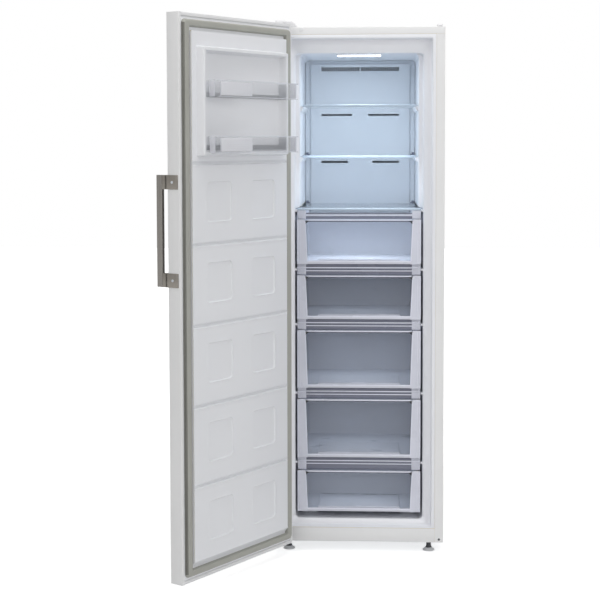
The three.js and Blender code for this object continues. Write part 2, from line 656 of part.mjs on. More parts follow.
function hingeCover() {
  const x = HINGE.x;
  const high = ARM.low + ARM.thickness + 8.9;
  const body = alongY([[x - 18, BODY_HEIGHT], [x + 55, BODY_HEIGHT], [x + 55, BODY_HEIGHT + 9],
    [x + 42, high], [x - 12, high], [x - 18, high - 5]], 4, 58);
  const nose = block(x - 14, x + 18, HINGE.y - 13, 6, ARM.low, high - 1);
  const hollow = block(x - 13, x + 41, 6, 56, BODY_HEIGHT - 1, high - 2);
  const sleeve = block(x - 12.5, x + 14.5, HINGE.y - 10.5, 8, ARM.low - 1, ARM.low + ARM.thickness + GAP);
  return cut(union([body, nose]), [hollow, sleeve]);
}

function bottomHinge() {
  const [x, y] = [HINGE.x, HINGE.y];
  const plate = block(x - 18, x + 12, y - 12, 80, -4, 0);
  const screws = [24, 60].map((depth) => rod('z', 5, -6.5, -3.5, { x: x - 3, y: depth }, 16));
  const washer = rod('z', 9, -1, DOOR.bottom - 1, { x, y });
  const pin = rod('z', HINGE.pin, -2, DOOR.bottom + HINGE.bushLength - 1, { x, y });
  return union([plate, ...screws, washer, pin]);
}

function hardwarePieces() {
  const plug = rod('y', 7, -1.5, 0, { x: -HALF + 98, z: BODY_HEIGHT - 8 });
  const cap = alongZ([], BODY_HEIGHT, BODY_HEIGHT + 9, roundedRectangle(HALF - 28, HALF - 8, 6, 46, 7));
  const screw = rod('y', 4, -1, 0, { x: HALF - 15, z: 11 }, 16);
  return [
    piece('hinge_top', topHinge(), 'zincSteel'),
    piece('hinge_cover', hingeCover(), 'whitePlastic'),
    piece('hinge_bottom', bottomHinge(), 'zincSteel'),
    piece('frame_plug', plug, 'whitePlastic'),
    piece('hole_cover_right', cap, 'whitePlastic'),
    piece('frame_screw', screw, 'darkPlastic'),
  ];
}

// ---------------------------------------------------------------- door
function doorSkin() {
  const tube = slab(HALF, DOOR_OUTER, DOOR.inner, DOOR.bottom, DOOR.top);
  const [low, high] = [DOOR.bottom - 1, DOOR.top + 1];
  const hollow = slab(HALF - SHEET, DOOR_OUTER + SHEET, DOOR.inner - SHEET, low, high);
  const opening = slab(HALF - DOOR.rim + GAP, DOOR.inner - 2, DOOR.inner + 1, low, high);
  return cut(tube, [hollow, opening]);
}

function doorCap(low, high) {
  const body = slab(HALF - SHEET - GAP, DOOR_OUTER + SHEET + GAP, DOOR.inner - SHEET - GAP, low, high);
  const rim = slab(HALF - DOOR.rim, DOOR.inner - 3, DOOR.inner, low, high);
  const seat = rod('z', HINGE.bush + GAP, low - 1, high + 1, HINGE);
  return body.add(rim).subtract(seat);
}

// The room side of the door, shrunk by t: seal bed, plug with grooves and panels, and the raised dyke
function doorForm(t) {
  const back = DOOR.inner - DOOR.bed - (t > 0 ? 1 : 0);
  const [low, high] = [DOOR.bottom + DOOR.rim + GAP + t, DOOR.top - DOOR.rim - GAP - t];
  const inset = GASKET.end - DOOR.rim - GAP;
  const [foot, face] = [PLUG.bottom + t, PLUG.face - t];
  const top = PLUG.top - t;
  const plug = [[back, foot], [DOOR.inner, foot], [face, foot + PLUG.slope], [face, top], [back, top]];
  const form = union([
    slab(HALF - DOOR.rim - GAP - t, back, DOOR.inner - 5 - t, low, high),
    slab(HALF - GASKET.side - t, back, DOOR.inner - t, low + inset, high - inset),
    alongX(plug, -PLUG.half + t, PLUG.half - t),
    dykeRing(t),
  ]);
  return cut(form, [...GROOVES.map((z) => groove(z, t)), ...doorPanels(t)]);
}

function dykeRing(t) {
  const [half, low, high] = [DYKE.half - t, DYKE.bottom + t, DYKE.top - t];
  const slope = (DYKE.width - DYKE.crest) / 2;
  const base = PLUG.face - t - 1;
  const outer = taper([half, low, high], base, [half - slope, low + slope, high - slope], DYKE.height - t);
  const room = DYKE.width - 2 * t;
  const inner = taper([half - room, low + room, high - room], base - 1,
    [half - room + slope, low + room - slope, high - room + slope], DYKE.height - t + 1);
  return outer.subtract(inner);
}

function groove(z, t) {
  const [mouth, floor, face] = [GROOVE.half + t, GROOVE.half - GROOVE.slope + t, PLUG.face + 1];
  const bed = PLUG.face - GROOVE.depth - t;
  const section = [[face, z - mouth], [face, z + mouth], [bed, z + floor], [bed, z - floor]];
  return alongX(section, -HALF, HALF);
}

function doorPanels(t) {
  const half = PANEL.size / 2 + t;
  const levels = GROOVES.map((top, i) => {
    const below = GROOVES[i + 1] ?? top - (GROOVES[3] - GROOVES[4]);
    return (top + below) / 2 + PANEL.rise;
  });
  return levels.flatMap((z) => [-PANEL.offset, PANEL.offset].map((x) => {
    const shape = roundedRectangle(x - half, x + half, z - half, z + half, PANEL.corner + t);
    return alongY([], PLUG.face - PANEL.depth - t, PLUG.face + 1, shape);
  }));
}

function doorFoam() {
  const [low, high] = [DOOR.bottom + DOOR.rim, DOOR.top - DOOR.rim];
  const core = slab(HALF - SHEET - GAP, DOOR_OUTER + SHEET + GAP, DOOR.inner - SHEET - GAP, low, high);
  const sheet = doorForm(0);
  const clear = slab(HALF - DOOR.rim, DOOR.inner - DOOR.bed - GAP, 0, low, high);
  const pockets = [
    rod('z', HINGE.bush + GAP, DOOR.bottom, DOOR.bottom + HINGE.bushLength + GAP, HINGE),
    rod('z', HINGE.bush + GAP, DOOR.top - HINGE.bushLength - GAP, DOOR.top, HINGE),
  ];
  const bed = DOOR.inner - DOOR.bed;
  const filling = doorForm(LINER + GAP).subtract(slab(HALF, DOOR_OUTER, bed - 1, low, high));
  const joining = slab(DYKE.half - 28, bed - 4, bed, low + 90, high - 90);
  return cut(cut(core, [sheet, clear]).add(filling).add(joining), pockets);
}

function doorLiner() {
  return doorForm(0).subtract(doorForm(LINER));
}

function gasket() {
  const { side, sideBase, end, endBase, lean } = GASKET;
  const foot = DOOR.inner + GAP;
  const [half, low, high] = [HALF - side, DOOR.bottom + end, DOOR.top - end];
  const [neck, sill, head] = [half - sideBase, low + endBase, high - endBase];
  const outer = taper([half, low, high], foot, [half - lean, low + lean, high - lean], GASKET_FACE);
  const inner = taper([neck, sill, head], foot - 1, [neck + lean, sill - lean, head + lean], GASKET_FACE + 1);
  return outer.subtract(inner);
}

function balcony([low, high]) {
  const { half, front, wall, neck, back } = BALCONY;
  const seat = DYKE.height + GAP;
  const sill = Math.max(low, DYKE.bottom + DYKE.width + GAP); // the neck passes above the lower dyke
  const outer = slab(half, seat, front, low, high).add(slab(neck, back, seat + 1, sill, high));
  const inner = slab(half - wall, seat + wall, front - wall, low + wall, high + 1)
    .add(slab(neck - wall, back + wall, front - wall, sill + wall, high + 1));
  const backRelief = slab(neck - wall, back - 1, back + wall + 1, sill + BALCONY.backHeight, high + 1);
  return cut(outer, [inner, backRelief]);
}

function bush(low) {
  const sleeve = rod('z', HINGE.bush, low, low + HINGE.bushLength, HINGE);
  return sleeve.subtract(rod('z', HINGE.pin + HINGE.play, low - 1, low + HINGE.bushLength + 1, HINGE));
}

function handleBar() {
  const outer = HALF + HANDLE.plate + GAP;
  const shape = roundedRectangle(outer - HANDLE.width, outer, HANDLE.face, HANDLE.face + HANDLE.depth, 2);
  return alongZ([], HANDLE.bottom, HANDLE.top, shape);
}

function handleBracket(low, high) {
  const outer = HALF + HANDLE.plate + GAP;
  const root = HANDLE.face + HANDLE.depth + GAP;
  const post = block(outer - HANDLE.width, outer, root, DOOR_OUTER - GAP, low, high);
  const plate = block(HALF + GAP, outer, root, HANDLE.wrap, low, high);
  const hole = rod('x', 2.4, HALF - 1, outer + 1, { y: HANDLE.screw, z: (low + high) / 2 }, 16);
  return post.add(plate).subtract(hole);
}

function handleScrew(z) {
  const outer = HALF + HANDLE.plate + GAP;
  const head = rod('x', 4.5, outer + GAP, outer + 1.8, { y: HANDLE.screw, z }, 20);
  return head.add(rod('x', 2, HALF + GAP, outer + 1, { y: HANDLE.screw, z }, 16));
}

function doorPieces() {
  const upper = [HANDLE.top - HANDLE.bracket, HANDLE.top];
  const lower = [HANDLE.bottom, HANDLE.bottom + HANDLE.bracket];
  return [
    piece('door_skin', doorSkin(), 'whitePaint'),
    piece('door_cap_top', doorCap(DOOR.top - DOOR.rim + GAP, DOOR.top), 'whitePlastic'),
    piece('door_cap_bottom', doorCap(DOOR.bottom, DOOR.bottom + DOOR.rim - GAP), 'whitePlastic'),
    piece('door_foam', doorFoam(), 'foam'),
    piece('door_liner', doorLiner(), 'whitePlastic'),
    piece('door_gasket', gasket(), 'gasket'),
    ...BALCONIES.map((range, i) => piece(`door_balcony_${i + 1}`, balcony(range), 'clearPlastic')),
    piece('door_bush_top', bush(DOOR.top - HINGE.bushLength), 'darkPlastic'),
    piece('door_bush_bottom', bush(DOOR.bottom), 'darkPlastic'),
    piece('handle_bar', handleBar(), 'brushedSteel'),
    piece('handle_bracket_upper', handleBracket(...upper), 'brushedSteel'),
    piece('handle_bracket_lower', handleBracket(...lower), 'brushedSteel'),
    piece('handle_screw_upper', handleScrew((upper[0] + upper[1]) / 2), 'zincSteel'),
    piece('handle_screw_lower', handleScrew((lower[0] + lower[1]) / 2), 'zincSteel'),
  ];
}

function doorGroup() {
  const group = new THREE.Group();
  for (const mesh of doorPieces()) {
    mesh.geometry.translate(-HINGE.x, -HINGE.y, 0);
    group.add(mesh);
  }
  group.position.set(HINGE.x, HINGE.y, 0);
  group.rotation.z = THREE.MathUtils.degToRad(-REST_OPENING);
  return group;
}

// ---------------------------------------------------------------- assembly
const freezer = new THREE.Group();
freezer.add(...cabinetPieces(), ...shelfPieces(), ...drawerPieces(), ...airPieces());
freezer.add(...machinePieces(), ...supportPieces(), ...hardwarePieces(), doorGroup());
freezer.position.set(0, -DEPTH / 2, FOOT_HEIGHT);
freezer.updateMatrixWorld(true);

export default freezer;
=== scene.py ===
"""Looks of the upright freezer: finer pieces, materials, light and camera around the model."""
import json
import math

import bmesh
import bpy
from mathutils import Matrix, Vector


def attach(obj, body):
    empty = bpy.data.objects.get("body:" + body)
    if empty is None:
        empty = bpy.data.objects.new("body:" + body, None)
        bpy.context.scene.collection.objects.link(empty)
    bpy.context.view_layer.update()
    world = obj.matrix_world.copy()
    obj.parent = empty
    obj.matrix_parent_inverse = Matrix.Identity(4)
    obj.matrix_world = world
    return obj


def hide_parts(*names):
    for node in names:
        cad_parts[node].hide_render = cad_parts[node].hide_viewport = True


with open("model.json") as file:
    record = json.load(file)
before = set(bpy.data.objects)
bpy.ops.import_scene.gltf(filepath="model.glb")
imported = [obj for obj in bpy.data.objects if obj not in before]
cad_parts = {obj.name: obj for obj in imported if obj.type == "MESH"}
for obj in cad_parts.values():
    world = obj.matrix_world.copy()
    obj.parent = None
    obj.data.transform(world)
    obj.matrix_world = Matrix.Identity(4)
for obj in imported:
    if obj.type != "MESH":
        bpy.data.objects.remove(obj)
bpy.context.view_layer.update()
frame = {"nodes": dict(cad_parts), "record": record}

# ---------------- places
# Pieces are drawn in cabinet millimetres: x = 0 mid-width, y = 0 front plane (positive into the
# cabinet), z = 0 the underside of the cabinet. The door is drawn closed and turned with its place.
HALF, DEPTH, HEIGHT = 297.5, 590, 1806
SHEET = 1.0  # thickness of the outer steel skin
BACK = DEPTH - 0.4  # rear edge of the skin
MOUTH = 267.3  # half the width inside the front frame
SIDES = ((-1, "left"), (1, "right"))
HINGE = (-HALF + 26, -42.5)
DOOR_OPEN = 122.7
CABINET = Matrix.Translation((0, -0.295, 0.038)) @ Matrix.Scale(0.001, 4)
DOOR = (CABINET @ Matrix.Translation((*HINGE, 0)) @ Matrix.Rotation(math.radians(-DOOR_OPEN), 4, "Z")
        @ Matrix.Translation((-HINGE[0], -HINGE[1], 0)))

# Food space: half its width above and below the step in its side walls, and the levels of its ends.
UPPER_HALF, LOWER_HALF = 209, 224.6
FLOOR, SUMP, STEP, CEILING = 73, 262, 1178, 1718
UPPER_SHELVES = (1538, 1358)
LOWER_SHELF = 1174
DRAWERS = (  # bottom, top and back of each one, from above
    (981, 1138, 440), (786, 940.6, 440), (541.6, 745.5, 440), (292.8, 500.4, 440), (98.6, 244.7, 292),
)
DIVIDER_DROP = 14.5  # from the bottom of a drawer down to the middle of its divider's plate
RAIL_HALF = 186.4  # half the length of the thin rails between the dividers' end blocks

# Door, drawn closed.
DOOR_LOW, DOOR_HIGH, DOOR_IN, DOOR_OUT = 4.1, 1813.6, -12, -61.3
LINER_HALF, LINER_LOW, LINER_HIGH = 285.5, 16.4, 1801.3
CORE = (252.5, 20, 1759, 4.5)  # plug of the door's liner: half-width, low, high, corner radius
DYKE = (228, 1364, 1712, 5)  # raised frame around the balconies: the same
GROOVES = (1343.5, 1085.5, 827, 569.6, 313)
PANEL_HALF, PANEL_X = 65, 116
PLUG_RISE, GROOVE_DEPTH, PANEL_DEPTH, DYKE_RISE = 14, 7.4, 4, 28
PANELS = [(high + low) / 2 + 5 for high, low in zip(GROOVES, (*GROOVES[1:], GROOVES[-1] - 256.6))]
BALCONIES = ((1551, 1604.5), (1375, 1428.5))
HANDLE_LOW, HANDLE_HIGH, MOUNT = 953, 1307, 45


# ---------------- materials
NOISE_LOW, NOISE_HIGH = 0.3, 0.7  # most values of a noise texture lie between these


def linear(red, green, blue):
    """Linear colour of an sRGB colour given from 0 to 255."""
    def one(value):
        value /= 255
        return value / 12.92 if value <= 0.04045 else ((value + 0.055) / 1.055) ** 2.4
    return one(red), one(green), one(blue)


def preset(node, **values):
    """Sets the node's unlinked inputs; an underscore stands for a space in a name."""
    for name, value in values.items():
        node.inputs[name.replace("_", " ")].default_value = value


def new_node(tree, kind, **values):
    node = tree.nodes.new("ShaderNode" + kind)
    preset(node, **values)
    return node


class Material:
    """Principled surface whose colour, roughness and relief vary over the object."""

    def __init__(self, name, color, roughness, metallic=0.0, alpha=1.0):
        self.material = bpy.data.materials.new(name)
        self.material.use_nodes = True
        self.tree = self.material.node_tree
        self.shader = self.tree.nodes["Principled BSDF"]
        self.color = linear(*color)
        self.roughness = roughness
        preset(self.shader, Metallic=metallic, Alpha=alpha)
        self.space = new_node(self.tree, "TexCoord").outputs["Object"]
        self.relief = None

    def link(self, source, target):
        self.tree.links.new(source, target)

    def noise(self, scale, detail=3.0, stretch=(1, 1, 1)):
        mapping = new_node(self.tree, "Mapping", Scale=stretch)
        self.link(self.space, mapping.inputs["Vector"])
        node = new_node(self.tree, "TexNoise", Scale=scale, Detail=detail)
        self.link(mapping.outputs["Vector"], node.inputs["Vector"])
        return node.outputs["Fac"]

    def tone(self, source, amount):
        ramp = new_node(self.tree, "ValToRGB")
        ends = ramp.color_ramp.elements
        for end, position, factor in ((ends[0], NOISE_LOW, 1 - amount), (ends[1], NOISE_HIGH, 1 + amount)):
            end.position = position
            end.color = (*(min(1, channel * factor) for channel in self.color), 1)
        self.link(source, ramp.inputs["Fac"])
        self.link(ramp.outputs["Color"], self.shader.inputs["Base Color"])
        return self

    def rough(self, source, amount):
        low, high = max(0.02, self.roughness - amount), min(1, self.roughness + amount)
        node = new_node(self.tree, "MapRange", From_Min=NOISE_LOW, From_Max=NOISE_HIGH,
                        To_Min=low, To_Max=high)
        self.link(source, node.inputs["Value"])
        self.link(node.outputs["Result"], self.shader.inputs["Roughness"])

    def bump(self, source, strength, distance):
        node = new_node(self.tree, "Bump", Strength=strength, Distance=distance)
        self.link(source, node.inputs["Height"])
        if self.relief is not None:
            self.link(self.relief, node.inputs["Normal"])
        self.relief = node.outputs["Normal"]
        self.link(self.relief, self.shader.inputs["Normal"])
        return self

    def shine(self, color, strength):
        preset(self.shader, Emission_Color=(*linear(*color), 1), Emission_Strength=strength)
        return self


def painted(name, color, roughness=0.32):
    """Enamelled sheet: faint orange peel and slow tone change."""
    m = Material(name, color, roughness)
    m.tone(m.noise(3.0, 2.0), 0.012)
    m.rough(m.noise(40.0), 0.04)
    return m.bump(m.noise(700.0, 1.0), 0.06, 0.00003)


def moulded(name, color, roughness=0.38, grain=1400.0, bump=0.08, tone=0.015, alpha=1.0):
    """Moulded plastic: fine spark-eroded grain and flow marks."""
    m = Material(name, color, roughness, alpha=alpha)
    m.tone(m.noise(6.0, 3.0), tone)
    m.rough(m.noise(14.0), 0.05)
    return m.bump(m.noise(grain, 2.0), bump, 0.00002)


def clear(name, color, roughness, alpha):
    """Clear plastic or glass: faint flow marks in its tone, polish and flatness."""
    m = Material(name, color, roughness, alpha=alpha)
    m.tone(m.noise(6.0, 2.0), 0.02)
    m.rough(m.noise(14.0), 0.03)
    return m.bump(m.noise(4.0, 1.0), 0.03, 0.0005)


def metal(name, color, roughness, stretch=(1, 1, 1), grain=600.0, bump=0.1, tone=0.06):
    """Bare metal, whose brushing runs along the axis that stretch shrinks."""
    m = Material(name, color, roughness, metallic=1.0)
    streaks = m.noise(grain, 4.0, stretch)
    m.tone(streaks, tone)
    m.rough(streaks, 0.08)
    return m.bump(streaks, bump, 0.00008)


UPRIGHT = (1, 1, 0.02)  # stretch of a brushing that runs up the object
PAINT = painted("white_enamel", (233, 233, 233))
CAP = moulded("white_cap_plastic", (231, 231, 232))
DOOR_LINER = moulded("door_liner_plastic", (231, 232, 235), 0.34, grain=900, bump=0.04, tone=0.004)
LINER = moulded("liner_plastic", (237, 238, 242), 0.34, grain=900, bump=0.05, tone=0.01)
DUCT = moulded("duct_plastic", (220, 225, 232), 0.4)
SEAL = moulded("gasket_rubber", (165, 165, 158), 0.62, grain=500, bump=0.15, tone=0.04)
# painted shade: darker rubber colour for the seal's outer flank, standing for the shade of the groove beside
# it
SEAL_PAINTED_SHADE = moulded("gasket_painted_shade", (118, 118, 112), 0.7, grain=500, bump=0.15, tone=0.05)
CLEAR = clear("drawer_clear", (164, 169, 181), 0.14, alpha=0.11)
WALL = clear("drawer_wall", (214, 218, 229), 0.3, alpha=0.85)
SMOKE = clear("divider_smoke", (128, 131, 147), 0.25, alpha=0.75)
FROST = moulded("drawer_frost", (224, 226, 237), 0.3, grain=900, bump=0.05, tone=0.03, alpha=0.88)
RAIL = moulded("rail_plastic", (227, 229, 240), 0.25, grain=900, bump=0.05, tone=0.02)
TRAY_CLEAR = clear("balcony_clear", (226, 229, 236), 0.14, alpha=0.1)
TRAY_FROST = moulded("balcony_frost", (236, 237, 242), 0.35, grain=900, bump=0.05, tone=0.02, alpha=0.8)
TRAY_EDGE = moulded("balcony_edge", (230, 231, 238), 0.25, grain=900, bump=0.05, tone=0.02, alpha=0.6)
GLASS = clear("shelf_glass", (206, 222, 230), 0.06, alpha=0.16)
EDGE = moulded("shelf_edge", (190, 204, 218), 0.22, grain=900, bump=0.04, tone=0.02)
SOLE = moulded("foot_plastic", (210, 210, 212), 0.4, grain=700, bump=0.1, tone=0.04)
DARK = moulded("dark_plastic", (52, 54, 58), 0.55, grain=700, bump=0.2, tone=0.08)
BLACK = painted("black_enamel", (30, 31, 33), 0.4)
BRUSHED = metal("brushed_steel", (120, 116, 110), 0.34, stretch=UPRIGHT)
BRUSHED_BAR = metal("brushed_steel_bar", (122, 119, 115), 0.3, stretch=UPRIGHT)
ZINC = metal("zinc_sheet", (176, 180, 184), 0.42, grain=45.0, bump=0.03, tone=0.1)
ALUMINIUM = metal("aluminium_fin", (196, 200, 203), 0.36, stretch=(0.05, 1, 1))
COPPER = metal("copper_tube", (190, 112, 74), 0.3, grain=200.0)
FOAM = Material("rigid_foam", (214, 198, 140), 0.92)
FOAM.tone(FOAM.noise(30.0), 0.12).bump(FOAM.noise(420.0), 0.6, 0.001)
LAMP = moulded("lamp_lens", (250, 252, 255), 0.4).shine((226, 240, 255), 6.0)
SLOT_LOOKS = {
    "white_paint": PAINT, "white_plastic": CAP, "liner_plastic": LINER, "foam": FOAM,
    "clear_plastic": CLEAR, "glass": GLASS, "gasket": SEAL, "brushed_steel": BRUSHED,
    "zinc_steel": ZINC, "dark_plastic": DARK, "black_paint": BLACK, "aluminium": ALUMINIUM,
    "lamp_lens": LAMP,
}


def dress_frame():
    """Gives the CAD solids that stay visible the looks of their slots."""
    slots = {part["node"]: part["material_slot"] for part in frame["record"]["subparts"]}
    for name, node in frame["nodes"].items():
        for place in node.material_slots:
            place.material = SLOT_LOOKS[slots[name]].material


# ---------------- mesh tools
def add_object(name, data):
    made = bpy.data.objects.new(name, data)
    bpy.context.collection.objects.link(made)
    return made


def rounded(u0, u1, v0, v1, radius, steps):
    """Counter-clockwise outline of a rectangle with rounded corners."""
    radius = min(radius, (u1 - u0) / 2 - 0.01, (v1 - v0) / 2 - 0.01)
    corners = ((u1 - radius, v0 + radius, -90), (u1 - radius, v1 - radius, 0),
               (u0 + radius, v1 - radius, 90), (u0 + radius, v0 + radius, 180))
    points = []
    for u, v, start in corners:
        for i in range(steps + 1):
            turn = math.radians(start + 90 * i / steps)
            points.append((u + radius * math.cos(turn), v + radius * math.sin(turn)))
    return points


def circle(u, v, radius, steps):
    turns = [2 * math.pi * i / steps for i in range(steps)]
    return [(u + radius * math.cos(turn), v + radius * math.sin(turn)) for turn in turns]


def inset(points, distance):
    """Outline moved inward by the distance, mitred at its corners (counter-clockwise outline)."""
    moved = []
    for i, here in enumerate(points):
        before, after = Vector(points[i - 1]), Vector(points[(i + 1) % len(points)])
        here = Vector(here)
        a, b = (here - before).normalized(), (after - here).normalized()
        na, nb = Vector((-a.y, a.x)), Vector((-b.y, b.x))
        middle = na + nb
        middle *= distance / max(0.2, middle.dot(na))
        moved.append((here.x + middle.x, here.y + middle.y))
    return moved


AXES = {"x": lambda u, v, w: (w, u, v), "y": lambda u, v, w: (u, w, v), "z": lambda u, v, w: (u, v, w)}


class Piece:
    """One named object built from closed forms, in cabinet millimetres."""

    def __init__(self, name, look, place=CABINET):
        self.name, self.place = name, place
        self.mesh = bmesh.new()
        self.stamped = self.mesh.faces.layers.int.new("stamped")
        self.looks = [look]
        self.current = 0

    def wear(self, look):
        """Sets the look of the forms that follow."""
        if look not in self.looks:
            self.looks.append(look)
        self.current = self.looks.index(look)

    def repaint(self, look, chosen):
        """Gives the look to the chosen faces, by their middles, and to the forms that follow."""
        self.wear(look)
        for face in self.mesh.faces:
            if chosen(face.calc_center_median()):
                face.material_index = self.current

    def stamp(self):
        """Gives the current look to every face made since the last stamp."""
        for face in self.mesh.faces:
            if not face[self.stamped]:
                face[self.stamped] = 1
                face.material_index = self.current

    def box(self, x0, x1, y0, y1, z0, z1, radius=1.0, steps=2):
        verts = bmesh.ops.create_cube(self.mesh, size=1)["verts"]
        for vert in verts:
            vert.co = ((x0 + x1) / 2 + vert.co.x * (x1 - x0), (y0 + y1) / 2 + vert.co.y * (y1 - y0),
                       (z0 + z1) / 2 + vert.co.z * (z1 - z0))
        if radius:
            edges = list({edge for vert in verts for edge in vert.link_edges})
            limit = min(x1 - x0, y1 - y0, z1 - z0) * 0.49
            bmesh.ops.bevel(self.mesh, geom=edges, offset=min(radius, limit), segments=steps, profile=0.5,
                            affect="EDGES", clamp_overlap=True)
        self.stamp()

    def slab(self, half, y0, y1, z0, z1, radius=1.0, steps=2):
        """Box across the middle."""
        self.box(-half, half, y0, y1, z0, z1, radius, steps)

    def pair(self, inner, outer, y0, y1, z0, z1, radius=1.0, steps=2):
        """The same box on both sides of the middle."""
        for side in (-1, 1):
            self.box(*sorted((side * inner, side * outer)), y0, y1, z0, z1, radius, steps)

    def loft(self, loops, ring=False, open_start=False):
        """Joins outlines of equal length (lists of 3-D points) into one skin, closed at its ends."""
        rows = [[self.mesh.verts.new(point) for point in loop] for loop in loops]
        count = len(rows[0])
        pairs = list(zip(rows, rows[1:])) + ([(rows[-1], rows[0])] if ring else [])
        for low, high in pairs:
            for i in range(count):
                j = (i + 1) % count
                self.mesh.faces.new((low[i], low[j], high[j], high[i]))
        if not ring:
            self.mesh.faces.new(rows[-1])
            if not open_start:
                self.mesh.faces.new(rows[0][::-1])
        self.stamp()

    def prism(self, outline, axis, low, high, bevel=0.0):
        """Outline extruded along an axis, with its two ends bevelled."""
        at = AXES[axis]
        levels = [(low, 0), (high, 0)]
        if bevel:
            levels = [(low, bevel), (low + bevel, 0), (high - bevel, 0), (high, bevel)]
        loops = []
        for level, shrink in levels:
            shape = inset(outline, shrink) if shrink else outline
            loops.append([at(u, v, level) for u, v in shape])
        self.loft(loops)

    def lathe(self, profile, axis, centre, steps=32, ring=False):
        """Profile of (radius, height) pairs turned about an axis through centre."""
        at = AXES[axis]
        loops = []
        for radius, height in profile:
            loops.append([at(u, v, height) for u, v in circle(*centre, radius, steps)])
        self.loft(loops, ring)

    def frames(self, axis, rows, steps=4, ring=False):
        """Joins rounded rectangles, each with its two ranges, corner radius and level along the axis."""
        at = AXES[axis]
        self.loft([[at(u, v, level) for u, v in rounded(*outline, steps)] for *outline, level in rows], ring)

    def thicken(self, thickness):
        """Turns the open skin made so far into a shell."""
        bmesh.ops.recalc_face_normals(self.mesh, faces=self.mesh.faces)
        bmesh.ops.solidify(self.mesh, geom=list(self.mesh.faces), thickness=-thickness)
        self.stamp()

    def tube(self, path, radius, steps=12):
        """Round bar along a smoothed path."""
        points = smooth_path([Vector(p) for p in path])
        loops = []
        side = Vector((0, 0, 1)).cross(points[1] - points[0])
        side = side if side.length > 1e-3 else Vector((1, 0, 0))
        for i, point in enumerate(points):
            run = (points[min(i + 1, len(points) - 1)] - points[max(i - 1, 0)]).normalized()
            side = (side - run * side.dot(run)).normalized()
            up = run.cross(side)
            loops.append([point + side * u + up * v for u, v in circle(0, 0, radius, steps)])
        self.loft(loops)

    def plate(self, us, vs, front, back, keep=lambda u, v: True):
        """Grid sheet between two surfaces; cells for which keep is false are left open."""
        near = [[self.mesh.verts.new(front(u, v)) for v in vs] for u in us]
        far = [[self.mesh.verts.new(back(u, v)) for v in vs] for u in us]
        edges = {}  # open edges, in the order in which they were met
        for i in range(len(us) - 1):
            for j in range(len(vs) - 1):
                if not keep((us[i] + us[i + 1]) / 2, (vs[j] + vs[j + 1]) / 2):
                    continue
                ring = ((i, j), (i + 1, j), (i + 1, j + 1), (i, j + 1))
                self.mesh.faces.new([near[a][b] for a, b in ring])
                self.mesh.faces.new([far[a][b] for a, b in reversed(ring)])
                for a, b in zip(ring, ring[1:] + ring[:1]):
                    if (b, a) in edges:
                        del edges[(b, a)]
                    else:
                        edges[(a, b)] = True
        for a, b in edges:
            self.mesh.faces.new((near[a[0]][a[1]], far[a[0]][a[1]], far[b[0]][b[1]], near[b[0]][b[1]]))
        bmesh.ops.delete(self.mesh, geom=[v for v in self.mesh.verts if not v.link_faces], context="VERTS")
        self.stamp()

    def finish(self, body, replaces=(), angle=35):
        """Makes the object, which rides its body and stands for the nodes that it replaces."""
        bmesh.ops.recalc_face_normals(self.mesh, faces=self.mesh.faces)
        data = bpy.data.meshes.new(self.name)
        self.mesh.to_mesh(data)
        self.mesh.free()
        data.transform(self.place)
        for look in self.looks:
            data.materials.append(look.material)
        data.polygons.foreach_set("use_smooth", [True] * len(data.polygons))
        data.set_sharp_from_angle(angle=math.radians(angle))
        made = add_object(self.name, data)
        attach(made, body)
        if replaces:
            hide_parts(*replaces)


def smooth_path(points, steps=6):
    """Catmull-Rom curve through the points."""
    ends = [points[0] * 2 - points[1], *points, points[-1] * 2 - points[-2]]
    curve = []
    for a, b, c, d in zip(ends, ends[1:], ends[2:], ends[3:]):
        for i in range(steps):
            t = i / steps
            curve.append(((b * 2) + (c - a) * t + (a * 2 - b * 5 + c * 4 - d) * t * t
                          + (b * 3 - a - c * 3 + d) * t * t * t) / 2)
    return curve + [points[-1]]


def ease(value, low, high):
    """Smooth step from 0 at low to 1 at high."""
    t = min(1, max(0, (value - low) / (high - low)))
    return t * t * (3 - 2 * t)


def lines(start, end, coarse, fine=()):
    """Grid lines: coarse ones everywhere and fine ones over the (low, high, pitch) bands."""
    values = {round(start, 3), round(end, 3)}
    count = math.ceil((end - start) / coarse)
    values |= {round(start + (end - start) * i / count, 3) for i in range(count)}
    for low, high, pitch in fine:
        steps = max(1, round((high - low) / pitch))
        values |= {round(low + (high - low) * i / steps, 3) for i in range(steps + 1)}
    ordered = sorted(v for v in values if start <= v <= end)
    closest = 0.35
    kept = [ordered[0]]
    for value in ordered[1:]:
        if value - kept[-1] > closest:
            kept.append(value)
    kept[-1] = end
    return kept


def inside_distance(x, z, half, low, high, radius):
    """Distance from (x, z) to the edge of a rounded rectangle centred on x = 0, positive inside."""
    u = abs(x) - (half - radius)
    v = abs(z - (low + high) / 2) - ((high - low) / 2 - radius)
    outside = math.hypot(max(u, 0), max(v, 0)) + min(max(u, v), 0)
    return radius - outside


